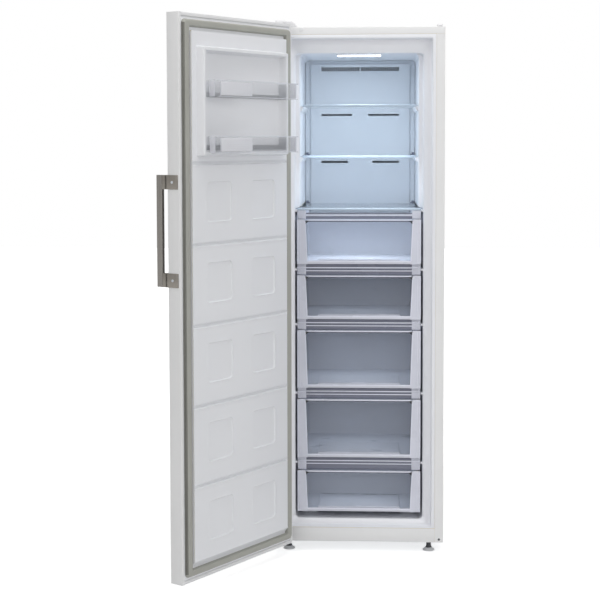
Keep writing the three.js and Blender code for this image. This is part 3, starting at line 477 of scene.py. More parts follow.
# ---------------- cabinet
def cabinet_skin():
    """Two side sheets and a top sheet, each bent round at the front, and the strip below the mouth."""
    lap = HALF - 29.9
    for side, name in SIDES:
        bend = [(lap, 0), (HALF - 2.9, 0), (HALF - 1.5, 0.35), (HALF - 0.35, 1.5), (HALF, 2.9),
                (HALF, BACK), (HALF - SHEET, BACK),
                (HALF - SHEET, 3.1), (HALF - 1.5, 1.7), (HALF - 2.7, 1.05), (lap, SHEET)]
        bend = bend if side > 0 else [(-x, y) for x, y in reversed(bend)]
        wall = Piece(f"side_sheet_{name}", PAINT)
        wall.prism(bend, "z", 0, HEIGHT - 25.1, 0.2)
        wall.box(*sorted((side * (HALF - SHEET), side * HALF)), 1.2, BACK, HEIGHT - 25, HEIGHT, 0.3)
        wall.finish("cabinet", [f"side_panel_{name}"])
    hem = HEIGHT - 24.7
    bend = [(0, hem), (SHEET, hem), (SHEET, HEIGHT - 2.8), (1.5, HEIGHT - 1.6), (2.9, HEIGHT - SHEET),
            (BACK, HEIGHT - SHEET), (BACK, HEIGHT), (2.8, HEIGHT), (1.3, HEIGHT - 0.4), (0.35, HEIGHT - 1.4),
            (0, HEIGHT - 2.8)]
    top = Piece("top_sheet", PAINT)
    top.prism(bend, "x", 1.2 - HALF, HALF - 1.2, 0.2)
    top.finish("cabinet", ["top_panel"])
    base = Piece("base_strip", PAINT)
    base.slab(MOUTH, 0, SHEET, 0, 49.7, 0.4)
    base.finish("cabinet", ["base_front"])


def back_sheet():
    """Rear panel, set in from its rim, with four upright ribs that fade out at their ends."""
    ribs = (-220, -110, 110, 220)
    half, low, high, thickness = HALF - 1.2, 208.2, HEIGHT - 1.2, 0.9

    def depth(x, z):
        fade = ease(z, 260, 300) * (1 - ease(z, 1740, 1780))
        rib = max(ease(12 - abs(x - middle), 0, 8) for middle in ribs)
        sunk = ease(inside_distance(x, z, 286, 222, 1792, 20), 0, 8)
        return DEPTH - 0.05 - 1.6 * sunk + 1.4 * rib * fade * sunk

    bands = [(middle - 13, middle + 13, 2) for middle in ribs] + [(-288, -276, 2), (276, 288, 2)]
    xs = lines(-half, half, 18, bands)
    zs = lines(low, high, 40, [(220, 232, 2), (258, 302, 6), (1738, 1794, 5)])
    sheet = Piece("rear_sheet", ZINC)
    sheet.plate(xs, zs, lambda x, z: (x, depth(x, z), z), lambda x, z: (x, depth(x, z) - thickness, z))
    sheet.finish("cabinet", ["back_panel"])


def chamber_outline(y, lower, upper, bottom, top, radius):
    """Cross-section of the food space, whose half-width changes from lower to upper at STEP."""
    slant = min(3.0, (lower - upper) / 2)
    turns = [math.radians(15 * i) for i in range(7)]
    arc = [(radius * math.sin(turn), radius * math.cos(turn)) for turn in turns]
    right = [(lower - radius + u, bottom + radius - v) for u, v in arc]
    right += [(lower, STEP - 4), (lower - slant, STEP - 1), (upper + slant, STEP + 1), (upper, STEP + 4)]
    right += [(upper - radius + v, top - radius + u) for u, v in arc]
    return [(x, y, z) for x, z in right] + [(-x, y, z) for x, z in reversed(right)]


def liner():
    """Skin of the food space from the frame to the rear wall, with its shelf seats and drawer rails."""
    mouth = (  # depth, half-width, bottom, top, corner radius
        (1.3, MOUTH, 50.3, 1780.7, 1.5), (1.3, 266.6, 50.6, 1780, 2), (0, 265.4, 51, 1778.6, 3),
        (0, 257, 52.2, 1768.6, 7), (0.6, 255.8, 52.8, 1767.4, 8), (2.2, 255.3, 53, 1767, 8),
        (26, 252.6, 54.4, 1764.4, 10), (29, 251.8, 55.2, 1763.4, 10), (30, 249.8, 57.2, 1761.2, 11),
        (30.1, 242.5, 60.8, 1749, 13), (30.6, 240, 62.2, 1744.6, 14), (39.2, 226.4, 72, 1720.6, 15),
        (41, 225.2, 72.9, 1718.4, 15), (45, 225, FLOOR, CEILING, 15), (83.4, 224.8, FLOOR, CEILING, 15),
    )
    corner = 15
    # Depth and upper half-width, depth and bottom, and depth, inset and corner radius:
    shoulder = ((85.4, 223.4), (86.2, 220), (86.4, 213), (87.4, 210), (91, 209.1))
    sump = ((310, FLOOR), (315, 75), (318, 81), (346, 252), (350, 259.5), (356, SUMP), (527, SUMP))
    rear = ((532, 1.2, 14), (535, 5.6, 10))
    path = [(y, half, half, low, high, radius) for y, half, low, high, radius in mouth]
    path += [(y, LOWER_HALF + 0.2, upper, FLOOR, CEILING, corner) for y, upper in shoulder]
    path += [(y, LOWER_HALF, UPPER_HALF, low, CEILING, corner) for y, low in sump]
    path += [(y, LOWER_HALF - d, UPPER_HALF - d, SUMP + d, CEILING - d, radius) for y, d, radius in rear]
    shape = Piece("food_liner", LINER)
    shape.loft([chamber_outline(*row) for row in path], open_start=True)
    shape.thicken(1.2)
    for side in (-1, 1):
        wall, tip = side * (UPPER_HALF + 0.6), side * 197
        for height in UPPER_SHELVES:
            seat = height - 2
            wedge = [(wall, seat), (wall, seat - 18), (side * 205, seat - 17), (tip, seat - 2), (tip, seat)]
            shape.prism(wedge if side < 0 else wedge[::-1], "y", 113, 476, 1.2)
    for level in (LOWER_SHELF, *(bottom - DIVIDER_DROP for bottom, _, _ in DRAWERS[:-1])):
        shape.pair(218.2, LOWER_HALF + 1, 48, 468, level - 10, level - 2, 1.5)
    shape.pair(150, 200, 115, 300, FLOOR - 1, 98.2, 3, 3)
    for x in (196.5, 203):
        shape.pair(x - 2, x + 2, 528, 536, 1190, 1704, 1.6, 3)
    shape.finish("cabinet", ["liner"], 40)


def frame_details():
    """Plug, screw, cap of the unused hinge hole, cover of the upper hinge and the lower hinge."""
    plug = Piece("frame_plug_cap", CAP)
    dome = [(4, 0.2), (6.9, 0), (7, -0.6), (6.3, -1.3), (4, -1.5), (0.1, -1.5)]
    plug.lathe(dome, "y", (-HALF + 98, HEIGHT - 8), 40)
    plug.finish("cabinet", ["frame_plug"])
    screw = Piece("frame_screw_head", DARK)
    head = [(3.6, 0), (4, -0.3), (3.4, -0.9), (1.6, -1), (1.5, -0.5), (0.1, -0.5)]
    screw.lathe(head, "y", (HALF - 15, 11))
    screw.finish("cabinet", ["frame_screw"])
    cap = Piece("hinge_hole_cap", CAP)
    cap.box(HALF - 28, HALF - 8, 6, 46, HEIGHT, HEIGHT + 9, 5, 4)
    cap.finish("cabinet", ["hole_cover_right"])
    x, y = HINGE
    cover = Piece("hinge_hood", CAP)
    hood = [(-18, 0), (55, 0), (54.6, 8), (51, 13), (44, 19), (38, 21.4), (-12, 21.4), (-16.5, 19), (-18, 15)]
    cover.prism([(x + u, HEIGHT + v) for u, v in hood], "y", 4.2, 58, 2.5)
    cover.box(x - 14, x + 18, y - 12.8, 8, HEIGHT + 8.7, HEIGHT + 20.3, 4, 4)
    cover.finish("cabinet", ["hinge_cover"])
    bracket = Piece("lower_hinge_plate", ZINC)
    bracket.box(x - 18, x + 12, y - 12, 80, -4, -0.1)
    bracket.lathe([(9, -1), (9, 2.6), (8.4, 3.1), (4, 3.1), (4, 20.5), (3, 21)], "z", HINGE)
    for bolt_y in (24, 60):
        bracket.lathe([(2, -6.4), (4.4, -6.4), (5, -5.8), (5, -3.8)], "z", (x - 3, bolt_y), 24)
    bracket.finish("cabinet", ["hinge_bottom"])


# ---------------- inside the cabinet
def shelves():
    """Two glass shelves and the wide one above the drawers, each with its front trim."""
    upper, lower = (106, 208.2), (44, 224.2)  # front edge and half-width
    rows = [(height, *upper) for height in UPPER_SHELVES] + [(LOWER_SHELF, *lower)]
    for number, (height, front, half) in enumerate(rows, 1):
        pane = Piece(f"shelf_pane_{number}", GLASS)
        pane.slab(half, front + 6.2, 476, height - 2, height + 2, 0.6)
        if number > 1:  # stops at the rear corners
            pane.wear(SMOKE)
            pane.pair(195, 205, 452, 472, height + 2.2, height + 13, 2, 3)
            pane.pair(191, 196, 456, 468, height + 2.2, height + 7, 1.5)
        pane.finish("cabinet", [f"shelf_glass_{number}"])
        trim = Piece(f"shelf_nosing_{number}", EDGE)
        section = ((0, -2.4), (1.2, -3.8), (6, -4), (6, 4), (1.8, 3.6), (0, 2))
        trim.prism([(front + y, height + z) for y, z in section], "x", 7.6 - half, half - 7.6, 0.6)
        if height == LOWER_SHELF:
            hanger(trim, DRAWERS[0][1] + 1.6, height - 4.6)
        trim.finish("cabinet", [f"shelf_trim_{number}"])


def end_blocks(shape, back, low, high):
    """Frosted blocks with three fine ribs each, at both ends of a divider's apron."""
    shape.wear(FROST)
    shape.pair(RAIL_HALF - 0.4, 217, 46, back, low, high, 1.5)
    for x in (193, 201, 209):
        shape.pair(x - 1.2, x + 1.2, 44.2, 47, low + 1, high - 1, 0.5)


def hanger(trim, low, high):
    """Apron, rail and end blocks below the lowest shelf."""
    trim.wear(RAIL)
    trim.slab(RAIL_HALF, 45, 48.6, high - 18.6, high - 14.6, 0.7)
    trim.wear(SMOKE)
    trim.slab(RAIL_HALF, 46, 49, high - 13, high - 8.4, 0.7)
    trim.slab(RAIL_HALF, 46, 49, low, high - 20, 0.7)
    end_blocks(trim, 300, low, high)


def divider(index):
    """Clear plate between two drawers, with two rails, an apron and end blocks at its front."""
    (bottom, _, back), (_, top_below, back_below) = DRAWERS[index:index + 2]
    plate, low, high = bottom - DIVIDER_DROP, top_below + 1.6, bottom - 0.3
    shape = Piece(f"drawer_shelf_{index + 1}", GLASS)
    shape.slab(224.2, 51.5, 470, plate - 2, plate + 2, 0.6)
    shape.wear(RAIL)
    shape.slab(216.8, 43, 51, plate - 1, plate + 2.6, 1.2, 3)
    shape.slab(RAIL_HALF, 44.4, 48, plate - 11.6, plate - 8.8, 0.9)
    shape.wear(SMOKE)
    shape.slab(RAIL_HALF, 46, 50.5, low, high, 0.6)
    end_blocks(shape, min(back, back_below + 20), low, high)
    shape.finish("cabinet", [f"drawer_divider_{index + 1}"])


def drawer(index):
    """Clear bin behind a frosted front frame: tapered uprights, a sill, a lip and a smoky strip under it that
    is painted shade of the lip.
    """
    bottom, top, back = DRAWERS[index]
    shape = Piece(f"drawer_bin_{index + 1}", CLEAR)
    wall, rim = 2.5, top - 8
    rows = []
    for z, d, radius in (  # level, inset, corner radius
            (bottom + 0.2, 5, 10), (bottom + 1.4, 1.2, 13), (bottom + 5, 0, 14), (rim - 7, 0, 14),
            (rim - 6.4, -2, 15), (rim - 0.6, -2, 15), (rim, -1.4, 15), (rim, wall, 12),
            (bottom + 8, wall, 12), (bottom + 3.6, wall + 1.4, 10), (bottom + wall, wall + 5, 8)):
        share = (z - bottom) / (rim - bottom)
        half = 200 + 8 * share - d
        rows.append((-half, half, 42 + d, back - 10 + 10 * share - d, radius, z))
    shape.frames("z", rows)
    shape.repaint(WALL, lambda middle: middle.y > 46)
    shape.slab(145, 61, 258, bottom + 3.2, bottom + 8.5, 2.5, 3)
    shape.wear(RAIL)
    shape.slab(145, 46.5, 60, bottom + 3, bottom + 15.5, 2, 3)
    if index == len(DRAWERS) - 1:  # dark bars in the rear wall of the short drawer: painted shade standing for its slots
        shape.wear(DARK)
        for x in (-108, -36, 36, 108):
            shape.box(x - 30, x + 30, back - 44, back - 40.5, bottom + 8, bottom + 8.9, 0.3)
    for side in (-1, 1):
        drawer_upright(shape, side, bottom, top)
    shape.wear(FROST)
    shape.slab(182, 37.4, 43, bottom, bottom + 6, 0.8)
    shape.wear(RAIL)
    shape.slab(182, 36.2, 43, bottom + 6, bottom + 11.5, 1.2, 3)
    lip = [(-187, 41), (-180, 32.6), (180, 32.6), (187, 41), (187, 43), (-187, 43)]
    shape.prism(lip, "z", top - 4.2, top - 0.4, 0.5)
    # smoky strip below the lip: painted shade that the lip casts on the window
    shape.wear(SMOKE)
    shape.slab(187, 40.5, 43, top - 9, top - 4, 0.5)
    shape.finish(f"drawer_{index + 1}_body", [f"drawer_{index + 1}"])


def drawer_upright(shape, side, bottom, top):
    """Frosted side of a drawer's front, with two ribs and a dark triangle under the lip that is painted shade
    of the corner.
    """
    outer, upper, lower = side * 217, side * 188, side * 181.5

    def extrude(outline, y0, y1, bevel):
        shape.prism(outline if side < 0 else outline[::-1], "y", y0, y1, bevel)

    shape.wear(FROST)
    extrude([(outer, bottom), (outer, top - 1), (upper + side * 3, top - 1), (upper, top - 7),
             (lower, bottom + 11), (lower, bottom)], 37, 43, 0.8)
    shape.wear(RAIL)
    extrude([(lower + side * 2.6, bottom + 12), (upper + side * 2.6, top - 8), (upper, top - 8),
             (lower, bottom + 12)], 35.6, 37.6, 0.5)
    for x, half in ((214.6, 1.5), (206.5, 0.8)):
        shape.box(side * x - half, side * x + half, 35.8, 38, bottom + 2, top - 3, 0.6)
    # dark triangle under the end of the lip: painted shade in the corner between the lip and the side band
    shape.wear(DARK)
    extrude([(upper, top - 16), (upper, top - 5), (upper - side * 13, top - 5)], 36.6, 39.4, 0.3)


def duct_cover():
    """Rear air duct with pairs of sunk slots, its side flange and the slats of the top slot."""
    vents = (  # low, high, inner and outer edge of each pair of slots
        (1678, 1693, 3, 147), (1509, 1516, 31, 147), (1330, 1338, 47, 147), (1060, 1068, 31, 147),
        (862.6, 870.6, 31, 147), (667.5, 675.5, 31, 147), (422.4, 430.4, 31, 147), (300, 312, 10, 160),
    )
    half, front, back, low, high, margin = 190, 480, 534.8, 268, 1707, 3

    def open_here(x, z):
        return any(a < z < b and inner < abs(x) < outer for a, b, inner, outer in vents)

    def depth(x, z):
        slots = 0
        for a, b, inner, outer in vents:
            beside = max(abs(abs(x) - (inner + outer) / 2) - (outer - inner) / 2, 0)
            above = max(abs(z - (a + b) / 2) - (b - a) / 2, 0)
            slots = max(slots, ease(6 - beside - above, 0, 5))
        return front + 0.2 + 1.2 * slots

    def grid(start, end, edges, pitch):
        values = {start, end, *pitch} | {edge + step for edge in edges for step in (-6, -3, 0, 3, 6)}
        return sorted(value for value in values if start <= value <= end)

    edges_x = {edge for vent in vents for x in vent[2:] for edge in (-x, x)}
    edges_z = {z for vent in vents for z in vent[:2]}
    xs = grid(margin - half, half - margin, edges_x, range(-180, 181, 30))
    zs = grid(low + margin, high - margin, edges_z, range(280, 1700, 40))
    shape = Piece("air_duct_cover", DUCT)
    shape.plate(xs, zs, lambda x, z: (x, depth(x, z), z), lambda x, z: (x, front + 3.4, z),
                lambda x, z: not open_here(x, z))
    rim = ((2.5, 4, front + 0.2), (0.8, 5, front + 0.9), (0, 6, front + 2.6), (0, 6, back), (2.4, 4, back),
           (3, 4, front + 3))  # inset, corner radius, depth
    shape.frames("y", [(d - half, half - d, low + d, high - d, r, y) for d, r, y in rim], ring=True)
    shape.pair(half - 0.2, 208, front + 6, front + 9, low, 1702, 1.2)
    for i in range(19):
        x = 10.2 + 7.2 * i
        shape.pair(x - 0.8, x + 0.8, front + 1.6, front + 3.2, 1677.5, 1693.5, 0)
    shape.slab(207, front + 6, front + 9, 1701, 1717.4, 1.2)
    shape.finish("cabinet", ["duct_cover", "duct_flange"])


def lamp():
    """Lens under the ceiling and the thin frame round it."""
    lens = Piece("ceiling_lamp_lens", LAMP)
    lens.slab(76.5, 86, 158, 1713.2, 1717.6, 2, 3)
    lens.finish("cabinet", ["lamp_lens"])
    bezel = Piece("ceiling_lamp_frame", CAP)
    bezel.frames("z", [
        (-78, 78, 84, 160, 7, CEILING), (-78, 78, 84, 160, 7, 1714.6), (-77.4, 77.4, 84.6, 159.4, 6, 1714),
        (-76.8, 76.8, 85.6, 158.4, 4, 1714.4), (-76.8, 76.8, 85.6, 158.4, 4, CEILING)], ring=True)
    bezel.finish("cabinet")


def machine():
    """Compressor on its feet, the pipes behind it and the defrost tray over it."""
    x, y = 60, 492  # middle of the compressor
    pump = Piece("compressor_housing", BLACK)
    dome = [(40, 14), (56, 14), (64, 20), (69, 34), (70, 60), (70, 84), (72.5, 86), (72.5, 90), (70, 92),
            (70, 110), (67, 128), (58, 146), (44, 157), (30, 162), (26, 163.8)]
    pump.lathe(dome, "z", (x, y), 64)
    pump.box(x - 90, x + 90, y - 62, y + 62, 11.5, 15, 1.4)
    pump.box(x - 96, x - 62, y - 26, y + 26, 50, 112, 4, 3)
    grommet = [(9, 1.5), (11, 2.5), (11, 6), (8, 7.5), (10, 9), (10, 11.5), (4, 11.8)]
    for dx, dy in ((-76, -48), (76, -48), (-76, 48), (76, 48)):
        pump.lathe(grommet, "z", (x + dx, y + dy), 24)
    pump.finish("cabinet", ["compressor"])
    pipes = Piece("refrigerant_pipes", COPPER)
    pipes.tube([(x + 40, y + 40, 148), (x + 62, y + 52, 158), (x + 96, y + 50, 140), (x + 130, y + 20, 90),
                (x + 170, y - 20, 60), (x + 200, y - 60, 60), (x + 208, y - 94, 70)], 3)
    pipes.tube([(x + 64, y + 10, 60), (x + 84, y + 16, 52), (x + 110, y + 10, 60), (x + 140, y - 40, 110),
                (x + 150, y - 80, 150), (x + 150, y - 94, 160)], 4)
    pipes.finish("cabinet")
    tray = Piece("defrost_tray", DARK)
    section = ((4, 8, 164.1), (2, 10, 168), (0, 12, 187), (0, 12, 188), (2.4, 10, 188), (4, 8, 168),
               (6, 6, 166.4))  # inset, corner radius, level
    tray.frames("z", [(d - 40, 160 - d, 418 + d, 566 - d, radius, z) for d, radius, z in section])
    tray.finish("cabinet", ["drip_tray"])


def supports():
    """Levelling feet at the front and wheels at the rear."""
    sole = [(17, -38), (20.2, -37.8), (21, -37), (21, -34.8), (20.2, -33.6), (18, -32), (13, -28.6),
            (11.8, -27)]
    stem = [(11.4, -28.2), (11.4, -26.4), (9.6, -22.5), (8.5, -20), (8.5, -0.5), (5, -0.4), (5, 24),
            (4, 24.7)]
    tread = [(3.1, -7), (8, -7), (8.6, -5.6), (14, -5.6), (15, -7), (16.8, -7), (18, -5.6)]
    tread += [(radius, -along) for radius, along in reversed(tread)]
    foot_x, foot_y, wheel_x, wheel_y, wheel_z = 248, 40, 250, 560, -20
    for side, name in SIDES:
        foot = Piece(f"levelling_foot_{name}", SOLE)
        foot.lathe(sole, "z", (side * foot_x, foot_y), 48)
        foot.wear(DARK)
        foot.lathe(stem, "z", (side * foot_x, foot_y), 48)
        foot.finish(f"foot_{name}_body", [f"foot_{name}"])
        wheel = Piece(f"rear_wheel_{name}", DARK)
        profile = [(radius, side * wheel_x + along) for radius, along in tread]
        wheel.lathe(profile, "x", (wheel_y, wheel_z), 48, ring=True)
        wheel.finish(f"roller_{name}_body", [f"roller_{name}"])


# ---------------- door
def door_skin():
    """Outer sheet of the door: its face and both sides, with hems around the liner."""
    hem = HALF - 11.6
    outer = [(hem, DOOR_IN), (296, DOOR_IN), (297.1, -12.4), (HALF, -13.5), (HALF, -57.6), (297, -59.7),
             (295.6, -61), (293.8, DOOR_OUT)]
    inner = [(293.8, DOOR_OUT + SHEET), (295.2, -60), (296.2, -59), (296.5, -57.6), (296.5, -13.6),
             (295.8, -13), (hem, -13)]
    outline = [(-x, y) for x, y in outer] + outer[::-1] + inner[::-1] + [(-x, y) for x, y in inner]
    skin = Piece("door_sheet", PAINT, DOOR)
    skin.prism(outline, "z", DOOR_LOW, DOOR_HIGH)
    skin.finish("door", ["door_skin"])


def door_caps():
    """Plastic profiles that close the door's upper and lower end."""
    thick, gap = 11.5, 0.2
    for name, low in (("top", DOOR_HIGH - gap - thick), ("bottom", DOOR_LOW + gap)):
        cap = Piece(f"door_end_cap_{name}", CAP, DOOR)
        cap.slab(HALF - 1.3, -60, -13.3, low, low + thick, 2.2, 3)
        cap.slab(LINER_HALF, -14.4, DOOR_IN, low, low + thick)
        cap.finish("door", [f"door_cap_{name}"])


def door_height(x, z):
    """Depth of the room side of the door: bed of the seal, plug, grooves, square panels and the dyke."""
    side, end = HALF - abs(x), min(z - DOOR_LOW, DOOR_HIGH - z)
    y = -13.6 + 1.4 * min(ease(side, 13.8, 15.4), ease(end, 19.4, 21.2))
    y += 1.2 * (1 - ease(min(side, end), 12.2, 13.6))
    core = inside_distance(x, z, *CORE)
    ramp = min(1, max(0, (z - 54.5) / 16))  # the plug's slanted lower end, with a bead along its top
    y += (PLUG_RISE + 1.2 * (1 - ease(abs(z - 71.5), 0, 3.5))) * min(ease(core, 0, 1.4), ramp)
    for level in GROOVES:
        rise = z - level
        y -= GROOVE_DEPTH * ease(rise, -6.5, -3.4) * (1 - ease(rise, -1, 7.5)) * ease(core, 2, 5)
        y += 0.9 * (1 - ease(abs(rise + 8.4), 0, 2.2)) * ease(core, 2, 5)
    for middle in PANELS:
        if abs(z - middle) < PANEL_HALF + 3:
            low, high = middle - PANEL_HALF, middle + PANEL_HALF
            edge = inside_distance(abs(x) - PANEL_X, z, PANEL_HALF, low, high, 15)
            y += 0.7 * (1 - ease(abs(edge), 0, 2)) - PANEL_DEPTH * ease(edge, 0.4, 3.6)
    ring = inside_distance(x, z, *DYKE)
    if ring > 0:
        y += DYKE_RISE * ease(ring, -1.2, 6) * (1 - ease(ring, 14.4, 21.4))
    return y


def door_liner():
    """Moulded inside of the door, on a grid that is fine where its height changes."""
    bands = [(281.6, LINER_HALF, 0.8), (245.5, 253.5, 1.6), (206, 229, 2), (177, 183, 1.2), (166, 177, 2.6),
             (49, 55, 1.2), (55, 66, 2.6)]
    bands += [(-high, -low, pitch) for low, high, pitch in bands]
    levels = [(16.1, 18.4, 0.8), (23.4, 25.6, 0.8), (53, 76, 1.8), (1751, 1761, 1.6), (1792, 1794, 0.8),
              (1800, 1802, 0.8), (1361, 1388, 2), (1688, 1714, 2)]
    levels += [(level - 10.6, level + 8, 1.1) for level in GROOVES]
    for middle in PANELS:
        levels += [(middle - 67, middle - 59, 1.2), (middle + 59, middle + 67, 1.2),
                   (middle - 58, middle - 48, 2.6), (middle + 48, middle + 58, 2.6)]
    xs = lines(-LINER_HALF, LINER_HALF, 12, bands)
    zs = lines(LINER_LOW, LINER_HIGH, 14, levels)
    shape = Piece("door_inner_liner", DOOR_LINER, DOOR)
    shape.plate(xs, zs, lambda x, z: (x, door_height(x, z), z), lambda x, z: (x, door_height(x, z) - 1.3, z))
    shape.finish("door", ["door_liner"], 50)


def gasket():
    """Ring seal: foot, bellows and magnet strip in section, with painted shade, a darker rubber colour, on
    its outer flank along its sides.
    """
    first, last, side_first, side_last = 20.6, 44.6, 14, 44.6
    section = [  # distance from the door's end, depth
        (first, -11.8), (first, -9.6), (21.6, -8.4), (23.8, -7.6), (22.4, -6.2), (23, -3.4), (24.4, -1.5),
        (26.2, -0.92), (39, -0.92), (40.8, -1.5), (42.2, -3.4), (42.8, -6.2), (41.4, -7.6), (43.6, -8.4),
        (last, -9.6), (last, -11.8),
    ]
    rows = []
    for end, y in section:
        side = side_first + (end - first) * (side_last - side_first) / (last - first)
        radius = max(2.0, 14 - (end - first) * 0.45)
        rows.append((side - HALF, HALF - side, DOOR_LOW + end, DOOR_HIGH - end, radius, y))
    seal = Piece("door_seal", SEAL, DOOR)
    seal.frames("y", rows, 6, ring=True)
    # painted shade on the outer flank along the sides, away from the corners
    flank, corner = 18.2, 32
    seal.repaint(SEAL_PAINTED_SHADE, lambda middle: HALF - abs(middle.x) < flank
                 and DOOR_LOW + corner < middle.z < DOOR_HIGH - corner)
    seal.finish("door", ["door_gasket"], 60)


def balcony(index):
    """Clear tray on the door with a frosted, ribbed grip and a pale rim."""
    low, high = BALCONIES[index]
    sill = max(low, 1384.8)
    shape = Piece(f"balcony_tray_{index + 1}", TRAY_CLEAR, DOOR)
    section = (  # inset, level
        (1.2, low), (0.3, low + 0.8), (0, low + 2.4), (0, high - 5), (0, high - 1.2), (0.5, high),
        (2.2, high), (2.6, high - 1.4), (2.6, low + 4), (3.6, low + 2.8), (5, low + 2.5),
    )
    shape.frames("z", [(d - 215.5, 215.5 - d, 30.4 + d, 77 - d, 14, z) for d, z in section], 5)
    shape.slab(205, 2.6, 31.8, sill, sill + 2.4, 0.8)
    shape.slab(205, 2.6, 5, sill, sill + 16, 0.8)
    shape.pair(202.6, 205, 2.6, 32, sill, high - 1, 0.8)
    shape.wear(TRAY_FROST)
    shape.box(38.5, 197.5, 75.6, 77.5, low + 5, high - 6, 0.8, 3)
    for i in range(6):
        z = low + 9 + i * (high - low - 21) / 5
        shape.box(42, 194, 77, 78.1, z, z + 1.6, 0.5)
    shape.wear(TRAY_EDGE)
    shape.slab(214.6, 75.2, 77.6, high - 3.2, high, 0.9, 3)
    shape.slab(213, 75.4, 77.4, low, low + 2.6, 0.8, 3)
    shape.pair(213.2, 215.6, 44, 66, low + 1, high - 1, 0.8)
    shape.pair(199.5, 202, 75.4, 77.4, low + 2, high - 2, 0.8)
    shape.finish("door", [f"door_balcony_{index + 1}"])


def handle():
    """Square bar on two brackets that reach round the door's edge, each held by a screw."""
    outer, inner = HALF + 2.3, HALF - 10.7
    bar = Piece("handle_grip", BRUSHED_BAR, DOOR)
    bar.prism(rounded(inner, outer, -105.5, -82.5, 2.2, 4), "z", HANDLE_LOW, HANDLE_HIGH, 0.8)
    bar.finish("door", ["handle_bar"])
    head = [(2, 0.3), (2, 2.2), (4.3, 2.4), (4.5, 2.9), (4.2, 3.7), (1.9, 3.8), (1.8, 3.0), (0.1, 3.0)]
    for name, low in (("lower", HANDLE_LOW), ("upper", HANDLE_HIGH - MOUNT)):
        bracket = Piece(f"handle_mount_{name}", BRUSHED, DOOR)
        bracket.box(inner, outer, -82.2, -61.6, low, low + MOUNT, 1.2, 3)
        bracket.box(HALF + 0.3, outer, -70, -17, low, low + MOUNT, 0.8)
        bracket.finish("door", [f"handle_bracket_{name}"])
        screw = Piece(f"handle_bolt_{name}", ZINC, DOOR)
        profile = [(radius, HALF + along) for radius, along in head]
        screw.lathe(profile, "x", (-40, low + MOUNT / 2))
        screw.finish("door", [f"handle_screw_{name}"])


# ---------------- camera, floor and light
DRAWER_GLOW = (0.52, 0.13, 0.22, 0.17, 0.12)  # watts of the light inside each drawer, from above
IMAGE = 600  # pixels on each side of the photo
FOCAL, HORIZON_ROW = 1400.44, 234  # pixels
CAMERA_AT = (47.86, -4873.25, 1405.93)
YAW, PITCH, ROLL = -0.05186, 0.06483, -0.00212  # radians


def camera():
    """Camera fitted to the photo's corners of the cabinet and the door."""
    data = bpy.data.cameras.new("camera")
    data.sensor_width = 36.0
    data.lens = FOCAL / IMAGE * data.sensor_width
    data.shift_y = (HORIZON_ROW - IMAGE / 2) / IMAGE
    data.clip_end = 50
    made = add_object("camera", data)
    forward = Vector((math.sin(YAW) * math.cos(PITCH), math.cos(YAW) * math.cos(PITCH), -math.sin(PITCH)))
    right = Vector((math.cos(YAW), -math.sin(YAW), 0))
    up = right.cross(forward)
    right, up = right * math.cos(ROLL) + up * math.sin(ROLL), up * math.cos(ROLL) - right * math.sin(ROLL)
    place = Matrix((right, up, -forward)).transposed().to_4x4()
    place.translation = CABINET @ Vector(CAMERA_AT)
    made.matrix_world = place
    bpy.context.scene.camera = made


def area_light(name, position, target, size, power, color=(1, 1, 1), spread=180):
    """Rectangular light; size in metres, power in watts, spread in degrees."""
    data = bpy.data.lights.new(name, "AREA")
    data.shape = "RECTANGLE"
    data.size, data.size_y = size
    data.energy = power
    data.color = color
    data.spread = math.radians(spread)
    made = add_object(name, data)
    aim = Vector(target) - Vector(position)
    made.matrix_world = Matrix.Translation(position) @ aim.to_track_quat("-Z", "Y").to_matrix().to_4x4()


def seen_white(tree, white, lit):
    """White where the camera, a reflection or clear plastic sees it, and the lit shader elsewhere."""
    path = new_node(tree, "LightPath")
    total = path.outputs["Is Camera Ray"]
    for output in ("Is Glossy Ray", "Is Transmission Ray"):
        add = new_node(tree, "Math")
        add.operation = "MAXIMUM"
        tree.links.new(total, add.inputs[0])
        tree.links.new(path.outputs[output], add.inputs[1])
        total = add.outputs[0]
    mix = new_node(tree, "MixShader")
    tree.links.new(total, mix.inputs["Fac"])
    tree.links.new(lit, mix.inputs[1])
    tree.links.new(white, mix.inputs[2])
    return mix.outputs[0]


def studio_world():
    """White world in view, and a weak even fill for the light."""
    world = bpy.data.worlds.new("studio")
    bpy.context.scene.world = world
    world.use_nodes = True
    tree = world.node_tree
    tree.nodes.clear()
    white, lit = (new_node(tree, "Background", Color=(1, 1, 1, 1), Strength=power) for power in (1.0, 0.3))
    surface = seen_white(tree, white.outputs[0], lit.outputs[0])
    tree.links.new(surface, new_node(tree, "OutputWorld").inputs["Surface"])


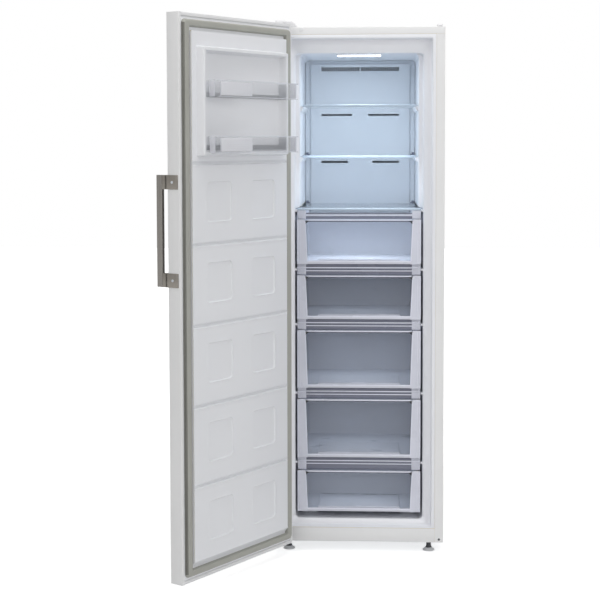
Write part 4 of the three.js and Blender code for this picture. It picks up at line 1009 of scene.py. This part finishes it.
def studio_floor():
    """Pale floor that keeps the object's shadow and turns white away from it."""
    reach = 14  # metres
    corners = [(reach * x, reach * y, 0) for x, y in ((-1, -1), (1, -1), (1, 1), (-1, 1))]
    mesh = bpy.data.meshes.new("floor")
    mesh.from_pydata(corners, [], [(0, 1, 2, 3)])
    floor = add_object("floor", mesh)
    material = bpy.data.materials.new("pale_floor")
    material.use_nodes = True
    tree = material.node_tree
    shader = tree.nodes["Principled BSDF"]
    preset(shader, Base_Color=(0.86, 0.86, 0.86, 1), Roughness=0.6, Specular_IOR_Level=0.1)
    away = new_node(tree, "VectorMath")
    away.operation = "LENGTH"
    tree.links.new(new_node(tree, "TexCoord").outputs["Object"], away.inputs[0])
    fade = new_node(tree, "MapRange", From_Min=0.7, From_Max=2.4, To_Min=0.6, To_Max=1.0)
    tree.links.new(away.outputs["Value"], fade.inputs["Value"])
    glow = new_node(tree, "Emission")
    tree.links.new(fade.outputs["Result"], glow.inputs["Strength"])
    both = new_node(tree, "AddShader")
    tree.links.new(shader.outputs[0], both.inputs[0])
    tree.links.new(glow.outputs[0], both.inputs[1])
    shown = seen_white(tree, both.outputs[0], shader.outputs[0])
    tree.links.new(shown, tree.nodes["Material Output"].inputs["Surface"])
    mesh.materials.append(material)


def studio_lights():
    """Three soft lights outside, and the lamp's light in the chamber and over the drawers."""
    area_light("key", (-2.6, -4.2, 3.4), (0, 0, 1.0), (3.0, 3.0), 50)
    area_light("fill", (3.4, -3.6, 2.8), (0, 0, 1.1), (3.0, 3.0), 60)
    area_light("over", (0, -1.3, 4.4), (0, -0.3, 0.6), (3.4, 2.4), 60)
    cold, diffuse, wide, narrow = (0.72, 0.87, 1.0), (0.84, 0.92, 1.0), 180, 110
    inner = [  # name, place in the cabinet, direction, size, watts, colour, spread
        ("chamber_lamp", (0, 122, 1711), (0, 0.02, -1), (0.15, 0.068), 0.28, cold, wide),
        ("chamber_glow", (0, 96, 1400), (0, 1, -0.35), (0.36, 0.42), 0.52, cold, wide),
    ]
    for number, ((_, top, back), power) in enumerate(zip(DRAWERS, DRAWER_GLOW), 1):
        place, size = (0, back / 2, top - 9), (0.34, back * 0.0006)
        inner.append((f"glow_drawer_{number}", place, (0, 0.1, -1), size, power, diffuse, narrow))
    for name, place, run, size, power, color, spread in inner:
        start = CABINET @ Vector(place)
        area_light(name, start, start + Vector(run), size, power, color, spread)


camera()
dress_frame()
cabinet_skin()
back_sheet()
liner()
frame_details()
shelves()
for number in range(len(DRAWERS) - 1):
    divider(number)
for number in range(len(DRAWERS)):
    drawer(number)
duct_cover()
lamp()
machine()
supports()
door_skin()
door_caps()
door_liner()
gasket()
for number in range(len(BALCONIES)):
    balcony(number)
handle()
studio_world()
studio_floor()
studio_lights()
bpy.context.scene.view_settings.view_transform = "Standard"
